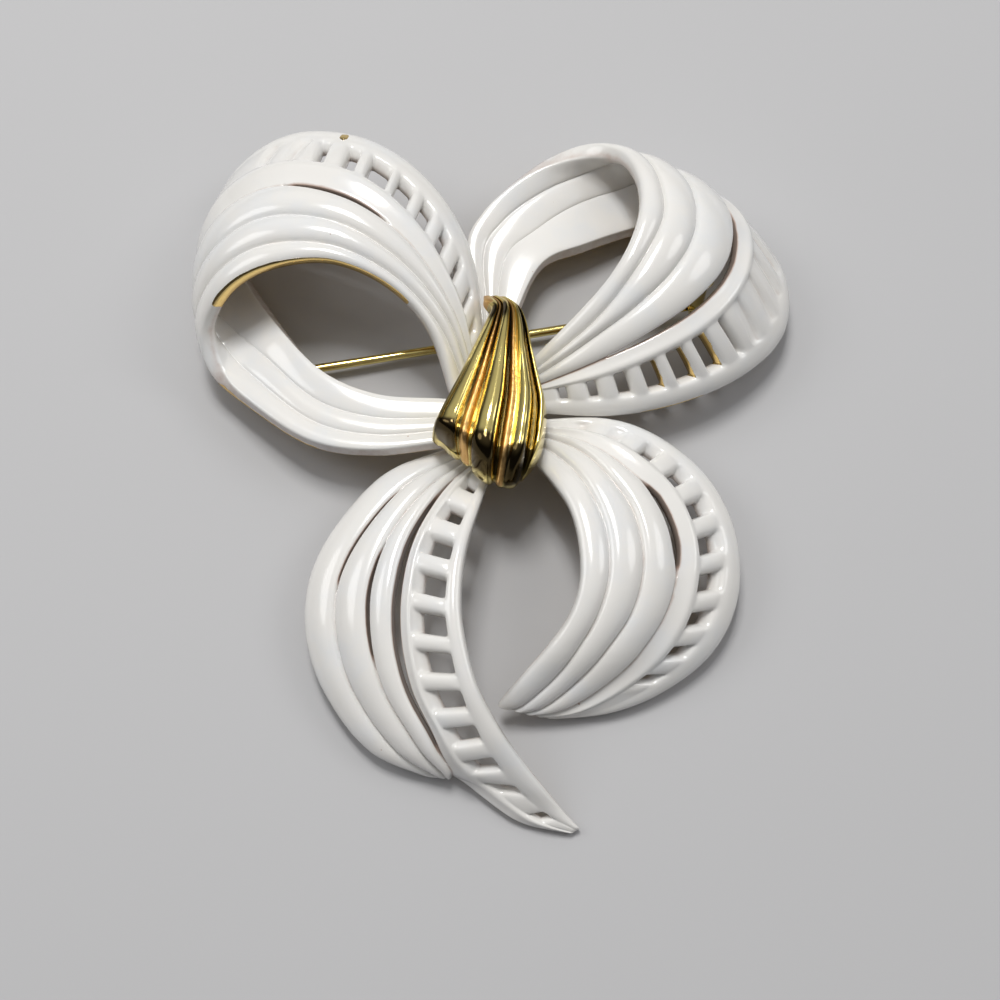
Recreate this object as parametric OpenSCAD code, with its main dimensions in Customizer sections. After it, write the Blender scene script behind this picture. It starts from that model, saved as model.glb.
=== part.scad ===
// Bow brooch: two ribbed ribbon loops and two tails, pierced along one edge like a ladder,
// gathered in a fluted knot, with a hinged pin and a hook behind. It lies on its back, face up.
// Lengths are in millimetres. The table is at z = 0, and the loops point towards +Y.

/* [Left loop] */
// How far the left loop reaches out from the knot
left_loop_reach = 31; // [29:0.5:33]
// How far the left loop rises above the knot
left_loop_rise = 31; // [29:0.5:33]
// Height of the left loop's front strand above the table
left_loop_lift = 13; // [12.5:0.5:15]

/* [Right loop] */
// How far the right loop reaches out from the knot
right_loop_reach = 31; // [29:0.5:33]
// How far the right loop rises above the knot
right_loop_rise = 31; // [29:0.5:33]
// Height of the right loop's front strand above the table
right_loop_lift = 13; // [12.5:0.5:15]

/* [Left tail] */
// How far the left tail bellies out from the knot
left_tail_reach = 19; // [17:0.5:21]
// How far the left tail drops below the knot
left_tail_drop = 41; // [38:0.5:44]
// Height of the left tail's ladder edge above the table
left_tail_lift = 9; // [8:0.5:10]

/* [Right tail] */
// How far the right tail bellies out from the knot
right_tail_reach = 26; // [24:0.5:28]
// How far the right tail drops below the knot
right_tail_drop = 30; // [28:0.5:32]
// Height of the right tail's inner rib above the table
right_tail_lift = 9; // [8:0.5:10]

/* [Ribbon] */
// Thickness of a rib at its crest
rib_t = 2.0; // [1.6:0.1:2.2]
// Thickness left under a groove
groove_t = 0.8; // [0.6:0.1:1.0]
// Width of a closed groove
groove_w = 0.2; // [0.15:0.05:0.3]
// Width of the widest slit
slit_w = 0.8; // [0.6:0.05:0.9]
// How far a ribbon's middle bulges out over its edges, where its table says 1
crown_h = 2.0; // [1.7:0.1:2.2]
// Thickness of a rail of the ladder
rail_t = 1.8; // [1.5:0.1:2.1]
// Thickness of a rung of the ladder
rung_t = 1.3; // [1.0:0.1:1.6]
// Share of the ladder's pitch that each window takes
window_share = 0.56; // [0.45:0.01:0.62]
// Pitch of the left loop's ladder
left_loop_pitch = 3.15; // [2.9:0.05:3.4]
// Pitch of the right loop's ladder
right_loop_pitch = 3.0; // [2.8:0.05:3.2]
// Pitch of the left tail's ladder
left_tail_pitch = 3.75; // [3.4:0.05:3.9]
// Pitch of the right tail's ladder
right_tail_pitch = 3.55; // [3.3:0.05:3.8]

/* [Knot] */
// Width of the knot across its foot
knot_w = 11; // [10.6:0.1:11.4]
// Length of the knot
knot_l = 20; // [19:0.2:21]
// Height of the knot's highest flute above the table
knot_top = 13.6; // [13:0.2:15]

/* [Pin] */
// Diameter of the pin's wire
pin_d = 0.9; // [0.8:0.05:1.0]
// Length of the point at the pin's end
pin_point_l = 6; // [4:0.5:8]
// Height of the pin's axis above the table
pin_z = 1.5; // [1.4:0.1:1.8]
// Outer diameter of the barrel round the hinge rivet
barrel_d = 2.2; // [2.0:0.1:2.4]
// Diameter of the hinge rivet
rivet_d = 0.8; // [0.7:0.05:0.9]
// Running clearance between the rivet and the barrel, on the radius
hinge_clearance = 0.05; // [0.03:0.01:0.08]
// Thickness of the hinge's two ears and of the hook
strap_t = 0.7; // [0.6:0.1:0.9]

/* [Hidden] */

// The knot's middle, from which every ribbon is measured: it puts the box's middle at the origin
knot_at = [-0.24, 5.56, -0.28];

// Columns of a ribbon's table, which has a row for each section along it. The near edge is the
// ribs' edge and the far edge is the ladder's, in shares of the ribbon's reach, rise and lift.
// Then where the three grooves, the windows' near side and their far side lie across it, as
// shares of its width, its crown as a share of crown_h, and its gauge as a share of the full
// thickness.
GROOVES = 6;
RAIL = 9;
OUTER_RAIL = 10;
CROWN = 11;
GAUGE = 12;

left_loop_rows = [
    [-0.11, -0.02, 0.50, -0.03,  0.23, 0.48, 0.25, 0.40, 0.50, 0.56, 0.70, 0.15, 0.75],
    [-0.19,  0.19, 0.77, -0.07,  0.50, 0.62, 0.11, 0.23, 0.35, 0.49, 0.64, 0.40, 0.90],
    [-0.32,  0.32, 0.92, -0.19,  0.73, 0.68, 0.08, 0.20, 0.36, 0.54, 0.68, 0.65, 1.00],
    [-0.50,  0.39, 1.00, -0.39,  0.90, 0.68, 0.09, 0.23, 0.41, 0.61, 0.75, 0.90, 1.00],
    [-0.69,  0.38, 0.96, -0.64,  0.96, 0.58, 0.12, 0.28, 0.48, 0.67, 0.80, 1.00, 1.00],
    [-0.83,  0.33, 0.81, -0.83,  0.89, 0.36, 0.13, 0.29, 0.50, 0.69, 0.82, 1.00, 1.00],
    [-0.91,  0.24, 0.56, -0.92,  0.74, 0.12, 0.16, 0.34, 0.54, 0.70, 0.84, 0.70, 1.00],
    [-0.88,  0.12, 0.38, -0.85,  0.57, 0.09, 0.23, 0.46, 0.62, 0.76, 0.88, 0.35, 1.00],
    [-0.76,  0.00, 0.40, -0.70,  0.31, 0.37, 0.28, 0.58, 0.70, 0.80, 0.90, 0.20, 1.00],
    [-0.57, -0.13, 0.45, -0.54,  0.12, 0.45, 0.28, 0.59, 0.70, 0.80, 0.90, 0.15, 0.95],
    [-0.37, -0.17, 0.50, -0.36,  0.03, 0.48, 0.28, 0.60, 0.70, 0.80, 0.90, 0.10, 0.85],
    [-0.14, -0.15, 0.54, -0.14,  0.01, 0.50, 0.28, 0.58, 0.70, 0.80, 0.90, 0.10, 0.75],
];

right_loop_rows = [
    [ 0.12,  0.13, 0.48,  0.14, -0.02, 0.42, 0.22, 0.34, 0.50, 0.60, 0.76, 0.15, 0.75],
    [ 0.29,  0.27, 0.78,  0.39, -0.02, 0.39, 0.17, 0.28, 0.48, 0.63, 0.82, 0.40, 0.90],
    [ 0.39,  0.38, 0.90,  0.61,  0.03, 0.36, 0.12, 0.27, 0.48, 0.63, 0.86, 0.65, 1.00],
    [ 0.45,  0.49, 0.96,  0.81,  0.13, 0.31, 0.11, 0.28, 0.50, 0.64, 0.88, 0.90, 1.00],
    [ 0.48,  0.61, 0.96,  0.95,  0.27, 0.25, 0.12, 0.29, 0.52, 0.64, 0.88, 1.10, 1.00],
    [ 0.47,  0.74, 0.88,  0.99,  0.44, 0.18, 0.11, 0.29, 0.53, 0.65, 0.88, 1.20, 1.00],
    [ 0.42,  0.85, 0.74,  0.95,  0.60, 0.09, 0.12, 0.30, 0.54, 0.66, 0.88, 1.00, 1.00],
    [ 0.32,  0.90, 0.61,  0.84,  0.73, 0.05, 0.16, 0.40, 0.60, 0.72, 0.88, 0.65, 1.00],
    [ 0.19,  0.88, 0.51,  0.68,  0.76, 0.09, 0.21, 0.49, 0.66, 0.78, 0.90, 0.35, 1.00],
    [ 0.07,  0.81, 0.44,  0.49,  0.68, 0.23, 0.21, 0.49, 0.66, 0.78, 0.90, 0.20, 1.00],
    [-0.03,  0.71, 0.38,  0.32,  0.60, 0.31, 0.21, 0.52, 0.68, 0.78, 0.90, 0.15, 0.95],
    [-0.08,  0.59, 0.34,  0.17,  0.52, 0.34, 0.24, 0.54, 0.70, 0.80, 0.90, 0.10, 0.85],
    [-0.04,  0.34, 0.32,  0.07,  0.30, 0.33, 0.27, 0.52, 0.70, 0.80, 0.90, 0.10, 0.75],
];

left_tail_rows = [
    [-0.24, -0.11, 0.50,  0.00, -0.19, 0.66, 0.34, 0.50, 0.60, 0.74, 0.88, 0.15, 0.75],
    [-0.54, -0.17, 0.49, -0.06, -0.29, 0.86, 0.29, 0.48, 0.61, 0.73, 0.90, 0.25, 0.90],
    [-0.77, -0.29, 0.44, -0.12, -0.40, 0.97, 0.25, 0.45, 0.61, 0.71, 0.91, 0.40, 1.00],
    [-0.90, -0.41, 0.38, -0.14, -0.52, 1.00, 0.22, 0.44, 0.62, 0.72, 0.91, 0.50, 1.00],
    [-0.92, -0.54, 0.31, -0.11, -0.62, 0.96, 0.22, 0.44, 0.61, 0.71, 0.91, 0.50, 1.00],
    [-0.83, -0.67, 0.24, -0.05, -0.71, 0.87, 0.22, 0.43, 0.59, 0.69, 0.90, 0.45, 1.00],
    [-0.62, -0.80, 0.18,  0.05, -0.79, 0.71, 0.21, 0.40, 0.54, 0.65, 0.86, 0.35, 0.95],
    [-0.37, -0.85, 0.15,  0.15, -0.85, 0.55, 0.14, 0.26, 0.36, 0.54, 0.80, 0.25, 0.85],
    [-0.19, -0.87, 0.13,  0.26, -0.91, 0.38, 0.03, 0.06, 0.09, 0.45, 0.74, 0.15, 0.75],
    [ 0.10, -0.97, 0.09,  0.35, -0.95, 0.20, 0.03, 0.06, 0.09, 0.43, 0.71, 0.10, 0.65],
    [ 0.40, -1.00, 0.06,  0.44, -0.99, 0.08, 0.03, 0.06, 0.09, 0.42, 0.70, 0.05, 0.50],
];

right_tail_rows = [
    [ 0.13, -0.16, 0.62,  0.16, -0.05, 0.52, 0.36, 0.54, 0.64, 0.74, 0.86, 0.10, 0.75],
    [ 0.23, -0.30, 0.87,  0.43, -0.04, 0.50, 0.26, 0.46, 0.58, 0.72, 0.84, 0.25, 0.90],
    [ 0.29, -0.40, 0.98,  0.63, -0.10, 0.49, 0.20, 0.39, 0.54, 0.70, 0.83, 0.45, 1.00],
    [ 0.32, -0.52, 1.02,  0.81, -0.23, 0.44, 0.18, 0.38, 0.57, 0.71, 0.84, 0.60, 1.00],
    [ 0.32, -0.64, 1.00,  0.91, -0.41, 0.38, 0.16, 0.36, 0.57, 0.71, 0.84, 0.65, 1.00],
    [ 0.28, -0.74, 0.91,  0.92, -0.60, 0.31, 0.15, 0.34, 0.55, 0.70, 0.82, 0.60, 1.00],
    [ 0.20, -0.83, 0.76,  0.85, -0.76, 0.24, 0.16, 0.32, 0.53, 0.70, 0.80, 0.50, 0.95],
    [ 0.12, -0.90, 0.58,  0.71, -0.88, 0.17, 0.18, 0.33, 0.53, 0.69, 0.78, 0.35, 0.85],
    [ 0.05, -0.96, 0.40,  0.50, -0.97, 0.13, 0.19, 0.36, 0.55, 0.70, 0.80, 0.20, 0.75],
    [ 0.03, -0.98, 0.33,  0.22, -1.00, 0.14, 0.24, 0.44, 0.62, 0.75, 0.85, 0.10, 0.60],
];

// What a ribbon is: its three sizes, which side of its table faces out (1 or -1), its table, its
// ladder, its slits, and the rows over which it passes into a plain back strand and its ribs stop
SIZES = 0;
SIDE = 1;
ROWS = 2;
LADDER = 3;
SLITS = 4;
PLAIN = 5;
RIBS_STOP = 6;
never = 100;

// Ladder: how many pitches along its rail the first window's middle lies, the pitch, and how many
// windows it has
// Slits: a row for each, with the groove it opens, the rows where it begins and ends, and its width
// as a share of slit_w
left_loop_ribbon = [[left_loop_reach, left_loop_rise, left_loop_lift], -1, left_loop_rows,
                    [3.025, left_loop_pitch, 7], [[2, 2.4, 3.9, 0.44]], [5.6, 7.2], never];
right_loop_ribbon = [[right_loop_reach, right_loop_rise, right_loop_lift], -1, right_loop_rows,
                     [1.05, right_loop_pitch, 7], [[2, 1.2, 5.6, 1]], [5.8, 7.4], never];
left_tail_ribbon = [[left_tail_reach, left_tail_drop, left_tail_lift], 1, left_tail_rows,
                    [0.64, left_tail_pitch, 11],
                    [[0, 1.2, 3.2, 0.31], [1, 2.2, 4.6, 0.5], [2, 0.6, 6.7, 0.75]], [never, never + 1], 7.8];
right_tail_ribbon = [[right_tail_reach, right_tail_drop, right_tail_lift], 1, right_tail_rows,
                     [3.35, right_tail_pitch, 8], [[2, 2.5, 4.4, 0.75]], [never, never + 1], never];

// Profiles: place across from -1 to 1, and share of the relief
rib_profile = [[-1, 0], [-0.62, 0.78], [0, 1], [0.62, 0.78], [1, 0]];
inner_rail_profile = [[-1, 0.1], [-0.3, 0.55], [0.45, 1.1], [1, 0.5]];
outer_rail_profile = [[-1, 0.5], [-0.35, 1], [0.35, 0.95], [1, 0.1]];

function unit(v) = v / norm(v);
function smooth(a, b, x) = let (t = min(1, max(0, (x - a) / (b - a)))) t * t * (3 - 2 * t);
function spline(a, b, c, d, t) =
    0.5 * (2 * b + (c - a) * t + (2 * a - 5 * b + 4 * c - d) * t * t + (3 * b - a - 3 * c + d) * t * t * t);

// A table's row at any place u along it, on a smooth curve through its rows
function row_at(rows, u) =
    let (last = len(rows) - 1, i = max(0, min(floor(u), last - 1)),
         before = i > 0 ? rows[i - 1] : 2 * rows[0] - rows[1],
         after = i + 2 <= last ? rows[i + 2] : 2 * rows[last] - rows[last - 1])
    spline(before, rows[i], rows[i + 1], after, u - i);

function placed(sizes, x, y, z) = knot_at + [sizes[0] * x, sizes[1] * y, sizes[2] * z];
function near_edge(ribbon, row) = placed(ribbon[SIZES], row[0], row[1], row[2]);
function far_edge(ribbon, row) = placed(ribbon[SIZES], row[3], row[4], row[5]);

// A section at u: its two edges, their headings, and its row
step_u = 0.01;
function section(ribbon, u) =
    let (row = row_at(ribbon[ROWS], u), ahead = row_at(ribbon[ROWS], u + step_u),
         behind = row_at(ribbon[ROWS], u - step_u))
    [near_edge(ribbon, row), far_edge(ribbon, row), near_edge(ribbon, ahead) - near_edge(ribbon, behind),
     far_edge(ribbon, ahead) - far_edge(ribbon, behind), row];

// The ribbon's middle surface at share v of a section, and the direction that faces out there
function arch(cut, side) =
    unit(cross((cut[2] + cut[3]) / 2, cut[1] - cut[0])) * side * crown_h * cut[4][CROWN];
function middle(cut, side, v) = cut[0] + (cut[1] - cut[0]) * v + arch(cut, side) * 4 * v * (1 - v);
function facing(cut, side, v) =
    let (heading = cut[2] + (cut[3] - cut[2]) * v,
         across = cut[1] - cut[0] + arch(cut, side) * 4 * (1 - 2 * v))
    unit(cross(heading, across)) * side;

// How wide groove g gapes at u, and whether it is open there
function slit_share(slit, u) = sin(180 * min(1, max(0, (u - slit[1]) / (slit[2] - slit[1]))));
function gap(ribbon, g, u) =
    max([groove_w, for (slit = ribbon[SLITS]) if (slit[0] == g)
         groove_w + (slit_w * slit[3] - groove_w) * slit_share(slit, u)]);
function slit_open(ribbon, g, u) =
    len([for (slit = ribbon[SLITS]) if (slit[0] == g && slit_share(slit, u) > 0) 1]) > 0;

// Columns across a section: share of the width, and thickness. The three ribs, then the two rails.
gap_limit = 0.05;
function strip(from, to, profile) =
    [for (p = profile) [(from + to) / 2 + (to - from) / 2 * p[0], p[1]]];
function columns(ribbon, cut, u) =
    let (width = norm(cut[1] - cut[0]), row = cut[4],
         half = [for (g = [0:2]) min(gap(ribbon, g, u) / width, gap_limit) / 2],
         plain = smooth(ribbon[PLAIN][0], ribbon[PLAIN][1], u),
         ribs = [for (g = [0:2]) each strip(g > 0 ? row[GROOVES + g - 1] + half[g - 1] : 0,
                                            row[GROOVES + g] - half[g], rib_profile)],
         rails = concat(strip(row[GROOVES + 2] + half[2], row[RAIL], inner_rail_profile),
                        strip(row[OUTER_RAIL], 1, outer_rail_profile)),
         places = concat(ribs, rails), third = 2 * len(rib_profile))
    [for (c = [0:len(places) - 1])
        let (v = places[c][0], relief = c < len(ribs) ? rib_t : rail_t,
             cast_t = c == window_column || c == window_column + 1
                      ? rung_t : groove_t + (relief - groove_t) * places[c][1],
             x = (v - row[GROOVES + 1]) / (1 - row[GROOVES + 1]) * 2 - 1,
             plain_t = groove_t + (rib_t - groove_t) * sqrt(max(0, 1 - x * x)))
        [v, (c < third ? cast_t : cast_t + (plain_t - cast_t) * plain) * row[GAUGE]]];

// Column numbers of the gaps between ribs, and of the windows
gap_columns = [for (g = [1:3]) g * len(rib_profile) - 1];
window_column = 3 * len(rib_profile) + len(inner_rail_profile) - 1;

// How far along the ladder each place lies, as pairs of length and u
ladder_v = 0.75;
run_steps = 10;
function ladder_run(ribbon) =
    let (n = (len(ribbon[ROWS]) - 1) * run_steps,
         line = [for (k = [0:n]) middle(section(ribbon, k / run_steps), ribbon[SIDE], ladder_v)])
    [for (k = 0, s = 0; k <= n; s = s + norm(line[min(k + 1, n)] - line[k]), k = k + 1) [s, k / run_steps]];

// Stations along a ribbon: even steps up to the first window, both ends of every window, then even
// steps on to the end
stations_per_row = 2;
function even_steps(from, to) =
    let (count = max(1, ceil((to - from) * stations_per_row)))
    [for (s = [1:count]) from + (to - from) * s / count];
function window_ends(ribbon, run) =
    let (ladder = ribbon[LADDER], half = window_share / 2)
    [for (k = [0:ladder[2] - 1], e = [-half, half]) lookup(ladder[1] * (ladder[0] + k + e), run)];
function stations(ribbon, ends) =
    concat([0], even_steps(0, ends[0]), [for (k = [1:len(ends) - 1]) ends[k]],
           even_steps(ends[len(ends) - 1], len(ribbon[ROWS]) - 1));

// Whether the cell of metal after station i and column j is there
function in_window(ends, u) =
    len([for (k = [0:2:len(ends) - 2]) if (ends[k] < u && u < ends[k + 1]) 1]) > 0;
function solid_cell(ribbon, us, ends, i, j) =
    let (u = (us[i] + us[i + 1]) / 2)
    !(j == window_column && in_window(ends, u))
    && !(j <= gap_columns[2] && u > ribbon[RIBS_STOP])
    && len([for (g = [0:2]) if (j == gap_columns[g] && slit_open(ribbon, g, u)) 1]) == 0;

function halves(q, flip) =
    flip ? [[q[0], q[2], q[1]], [q[0], q[3], q[2]]] : [[q[0], q[1], q[2]], [q[0], q[2], q[3]]];

// A pierced ribbon: front and back faces where there is metal, and walls round every edge and window
module ribbon_solid(ribbon) {
    ends = window_ends(ribbon, ladder_run(ribbon));
    us = stations(ribbon, ends);
    side = ribbon[SIDE];
    cuts = [for (u = us) section(ribbon, u)];
    across = [for (i = [0:len(us) - 1]) columns(ribbon, cuts[i], us[i])];
    n = len(us);
    c = len(across[0]);
    faces_of = [for (way = [0.5, -0.5], i = [0:n - 1], j = [0:c - 1])
                let (v = across[i][j][0])
                middle(cuts[i], side, v) + facing(cuts[i], side, v) * across[i][j][1] * way];
    metal = [for (i = [0:n - 2]) [for (j = [0:c - 2]) solid_cell(ribbon, us, ends, i, j)]];
    quads = [for (i = [0:n - 2], j = [0:c - 2]) if (metal[i][j])
        let (f = i * c + j, b = n * c + f)
        each concat([[f, f + 1, f + c + 1, f + c], [b, b + c, b + c + 1, b + 1]],
                    j > 0 && metal[i][j - 1] ? [] : [[f, f + c, b + c, b]],
                    j < c - 2 && metal[i][j + 1] ? [] : [[b + 1, b + c + 1, f + c + 1, f + 1]],
                    i > 0 && metal[i - 1][j] ? [] : [[f + 1, f, b, b + 1]],
                    i < n - 2 && metal[i + 1][j] ? [] : [[b + c + 1, b + c, f + c, f + c + 1]])];
    polyhedron(faces_of, [for (q = quads) each halves(q, side < 0)], convexity = 10);
}

// The knot's table, a row for each section from its narrow top down: left x, left y, right x and
// right y in shares of its width and length, how far its lower side bows down as a share of its
// length, and its height as a share of its thickness
KNOT_BOW = 4;
KNOT_RISE = 5;
knot_rows = [
    [-0.06, 0.535,  0.16, 0.530, 0.000, 0.15],
    [ 0.01, 0.450,  0.28, 0.445, 0.000, 0.55],
    [-0.06, 0.330,  0.345, 0.345, 0.000, 0.78],
    [-0.16, 0.205,  0.39, 0.210, 0.000, 0.88],
    [-0.28, 0.060,  0.45, 0.060, 0.000, 0.94],
    [-0.40, -0.075, 0.50, -0.070, 0.000, 0.98],
    [-0.48, -0.170, 0.49, -0.195, 0.030, 1.00],
    [-0.51, -0.230, 0.45, -0.305, 0.085, 0.95],
    [-0.46, -0.262, 0.37, -0.390, 0.120, 0.34],
];
// Flutes across the knot: share of its width, and share of its height
flutes = [
    [0, 0.10], [0.015, 0.50], [0.04, 0.70], [0.09, 0.80], [0.15, 0.85], [0.2, 0.86], [0.235, 0.81],
    [0.252, 0.70], [0.27, 0.74], [0.3, 0.80], [0.335, 0.79], [0.36, 0.72], [0.378, 0.66],
    [0.405, 0.84], [0.45, 0.93], [0.5, 0.97], [0.555, 0.95], [0.585, 0.84], [0.605, 0.54],
    [0.63, 0.70], [0.66, 0.80], [0.69, 0.79], [0.708, 0.74], [0.735, 0.80], [0.785, 0.85],
    [0.83, 0.80], [0.86, 0.60], [0.88, 0.36], [0.9, 0.42], [0.93, 0.56], [0.97, 0.50], [1, 0.10],
];
// How far a flute stands out past the hollows along the knot's lower edge, for each share of height
// that it has over the hollows' own
flute_reach = 1.6;
hollow = 0.6;
// Share of the width over which that begins, from the left edge, and the rows over which it begins
knot_edge = 0.16;
flute_rows = [5, 8];
knot_steps = 2;
// Height of the knot's underside, over the roots of the ribbons
knot_foot = 8.3;
// How far the core under the knot stays inside the roots, and where it begins
core_inset = 1.1;
core_z = 3.2;

function knot_bow(v) = 6.75 * v * v * (1 - v);
function knot_point(row, u, flute, level) =
    let (v = flute[0],
         out = flute_reach * max(0, flute[1] - hollow) * smooth(0, knot_edge, v)
               * smooth(flute_rows[0], flute_rows[1], u))
    knot_at + [knot_w * (row[0] + (row[2] - row[0]) * v) - out / 3,
               knot_l * (row[1] + (row[3] - row[1]) * v - row[KNOT_BOW] * knot_bow(v)) - out,
               knot_foot + (knot_top - knot_foot) * flute[1] * level * row[KNOT_RISE]];

// The fluted shell of the knot, flat beneath
module knot_shell() {
    n = (len(knot_rows) - 1) * knot_steps + 1;
    c = len(flutes);
    points = [for (level = [1, 0], i = [0:n - 1], flute = flutes)
              knot_point(row_at(knot_rows, i / knot_steps), i / knot_steps, flute, level)];
    quads = [for (i = [0:n - 2], j = [0:c - 2])
        let (f = i * c + j, b = n * c + f)
        each concat([[f, f + 1, f + c + 1, f + c], [b, b + c, b + c + 1, b + 1]],
                    j > 0 ? [] : [[f, f + c, b + c, b]],
                    j < c - 2 ? [] : [[b + 1, b + c + 1, f + c + 1, f + 1]],
                    i > 0 ? [] : [[f + 1, f, b, b + 1]],
                    i < n - 2 ? [] : [[b + c + 1, b + c, f + c, f + c + 1]])];
    polyhedron(points, [for (q = quads) each halves(q, false)], convexity = 6);
}

// The corners of the ribbons' roots, which stand round the core
function flat(p) = [p[0], p[1]];
function root_ends(ribbon) =
    let (row = ribbon[ROWS][0]) [flat(near_edge(ribbon, row)), flat(far_edge(ribbon, row))];
core_corners = concat(root_ends(right_loop_ribbon), [root_ends(right_tail_ribbon)[1]],
                      [root_ends(right_tail_ribbon)[0]], [root_ends(left_tail_ribbon)[1]],
                      [root_ends(left_tail_ribbon)[0]], root_ends(left_loop_ribbon));

module knot_core() {
    translate([0, 0, core_z])
        linear_extrude(height = knot_foot - core_z + strap_t) offset(delta = -core_inset) polygon(core_corners);
}

module knot() {
    color("gold") union() {
        knot_shell();
        knot_core();
    }
}

// Where the hinge and the hook sit on the ribbons' backs: the row and the share of the width
hinge_on = [8.31, 0.76];
catch_on = [3.72, 0.45];
seat_gap = 0.3;
seat_r = 1.4;
seat_t = 0.6;
round_steps = 48;

function over(cut, side, v, rise) = middle(cut, side, v) + facing(cut, side, v) * rise;
hinge_cut = section(left_loop_ribbon, hinge_on[0]);
catch_cut = section(right_loop_ribbon, catch_on[0]);
hinge_out = facing(hinge_cut, left_loop_ribbon[SIDE], hinge_on[1]);
catch_out = -facing(catch_cut, right_loop_ribbon[SIDE], catch_on[1]);
hinge_seat = middle(hinge_cut, left_loop_ribbon[SIDE], hinge_on[1]) + hinge_out * (rib_t / 2 + seat_gap);
catch_seat = middle(catch_cut, right_loop_ribbon[SIDE], catch_on[1]) + catch_out * (rib_t / 2 + seat_gap);

// The pin runs from under the hinge's seat to under the hook's
pin_from = [hinge_seat[0], hinge_seat[1], pin_z];
pin_to = [catch_seat[0], catch_seat[1], pin_z];
pin_angle = atan2(pin_to[1] - pin_from[1], pin_to[0] - pin_from[0]);
pin_overhang = 1.2;
pin_l = norm(pin_to - pin_from) + pin_overhang;
rivet_head_d = 1.3;
rivet_head_t = 0.25;
side_gap = 0.1;
barrel_w = 2.0;
ear_clearance = 0.02;
ears_w = barrel_w + 2 * (side_gap + strap_t);
catch_w = 1.6;
catch_gap = 0.25;
catch_foot_z = 0.5;

// Turns what follows so that its +Z points along a direction
module along(direction) {
    rotate([0, acos(direction[2]), atan2(direction[1], direction[0])]) children();
}

// A round seat that lies just under a ribbon
module seat(at, out) {
    translate(at) along(out) cylinder(r = seat_r, h = seat_t, $fn = round_steps);
}

// In the pin's own frame: X along the wire, Y along the rivet, Z up, zero on the rivet's axis
module at_hinge() {
    translate(pin_from) rotate([0, 0, pin_angle]) children();
}

module across_pin(d, w) {
    rotate([90, 0, 0]) cylinder(d = d, h = w, center = true, $fn = round_steps);
}

module hinge_bracket() {
    rise = hinge_seat[2] - pin_z;
    ear_top = rise - seat_t;
    color("gold") difference() {
        union() {
            seat(hinge_seat, hinge_out);
            at_hinge() {
                translate([0, 0, (barrel_d / 2 + side_gap + ear_top) / 2])
                    cube([barrel_d, ears_w, ear_top - barrel_d / 2 - side_gap], center = true);
                for (way = [-1, 1]) translate([0, way * (ears_w - strap_t) / 2, 0]) {
                    across_pin(barrel_d, strap_t);
                    translate([0, 0, ear_top / 2]) cube([barrel_d, strap_t, ear_top], center = true);
                }
            }
        }
        at_hinge() across_pin(rivet_d + 2 * ear_clearance, ears_w + strap_t);
    }
}

module hinge_rivet() {
    color("gold") at_hinge() {
        across_pin(rivet_d, ears_w + 2 * side_gap);
        for (way = [-1, 1]) translate([0, way * (ears_w / 2 + ear_clearance + rivet_head_t / 2), 0])
            across_pin(rivet_head_d, rivet_head_t);
    }
}

module pin_stem() {
    color("gold") at_hinge() difference() {
        union() {
            across_pin(barrel_d, barrel_w);
            rotate([0, 90, 0]) {
                cylinder(d = pin_d, h = pin_l - pin_point_l, $fn = round_steps);
                translate([0, 0, pin_l - pin_point_l])
                    cylinder(d1 = pin_d, d2 = pin_d / 4, h = pin_point_l, $fn = round_steps);
            }
        }
        across_pin(rivet_d + 2 * hinge_clearance, barrel_w + strap_t);
    }
}

module pin_catch() {
    slot_w = pin_d + 2 * catch_gap;
    outer_w = slot_w + 2 * strap_t;
    stalk_l = catch_seat[2] - pin_z - (slot_w + strap_t) / 2 - seat_gap;
    color("gold") union() {
        seat(catch_seat, catch_out);
        translate(pin_to) rotate([0, 0, pin_angle]) {
            translate([0, 0, (slot_w + strap_t) / 2])
                cylinder(d = catch_w, h = stalk_l, $fn = round_steps);
            difference() {
                union() {
                    rotate([0, 90, 0])
                        cylinder(d = outer_w, h = catch_w, center = true, $fn = round_steps);
                    translate([0, 0, -pin_z / 2]) cube([catch_w, outer_w, pin_z], center = true);
                }
                rotate([0, 90, 0]) cylinder(d = slot_w, h = 2 * catch_w, center = true, $fn = round_steps);
                translate([0, 0, -pin_z / 2]) cube([2 * catch_w, slot_w, pin_z], center = true);
                translate([0, 0, -pin_z]) cube([2 * catch_w, 2 * outer_w, 2 * catch_foot_z], center = true);
            }
        }
    }
}

module left_loop() {
    color("white") ribbon_solid(left_loop_ribbon);
}

module right_loop() {
    color("white") ribbon_solid(right_loop_ribbon);
}

module left_tail() {
    color("white") ribbon_solid(left_tail_ribbon);
}

module right_tail() {
    color("white") ribbon_solid(right_tail_ribbon);
}

left_loop();
right_loop();
left_tail();
right_tail();
knot();
hinge_bracket();
hinge_rivet();
pin_stem();
pin_catch();
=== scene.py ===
"""Dresses the bow brooch: enamelled ribbon loops and tails, a fluted gold knot, and the pin behind."""

from __future__ import annotations

import logging
import math
from collections.abc import Callable, Sequence
from dataclasses import dataclass, field
from enum import Enum
from typing import Any

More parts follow.
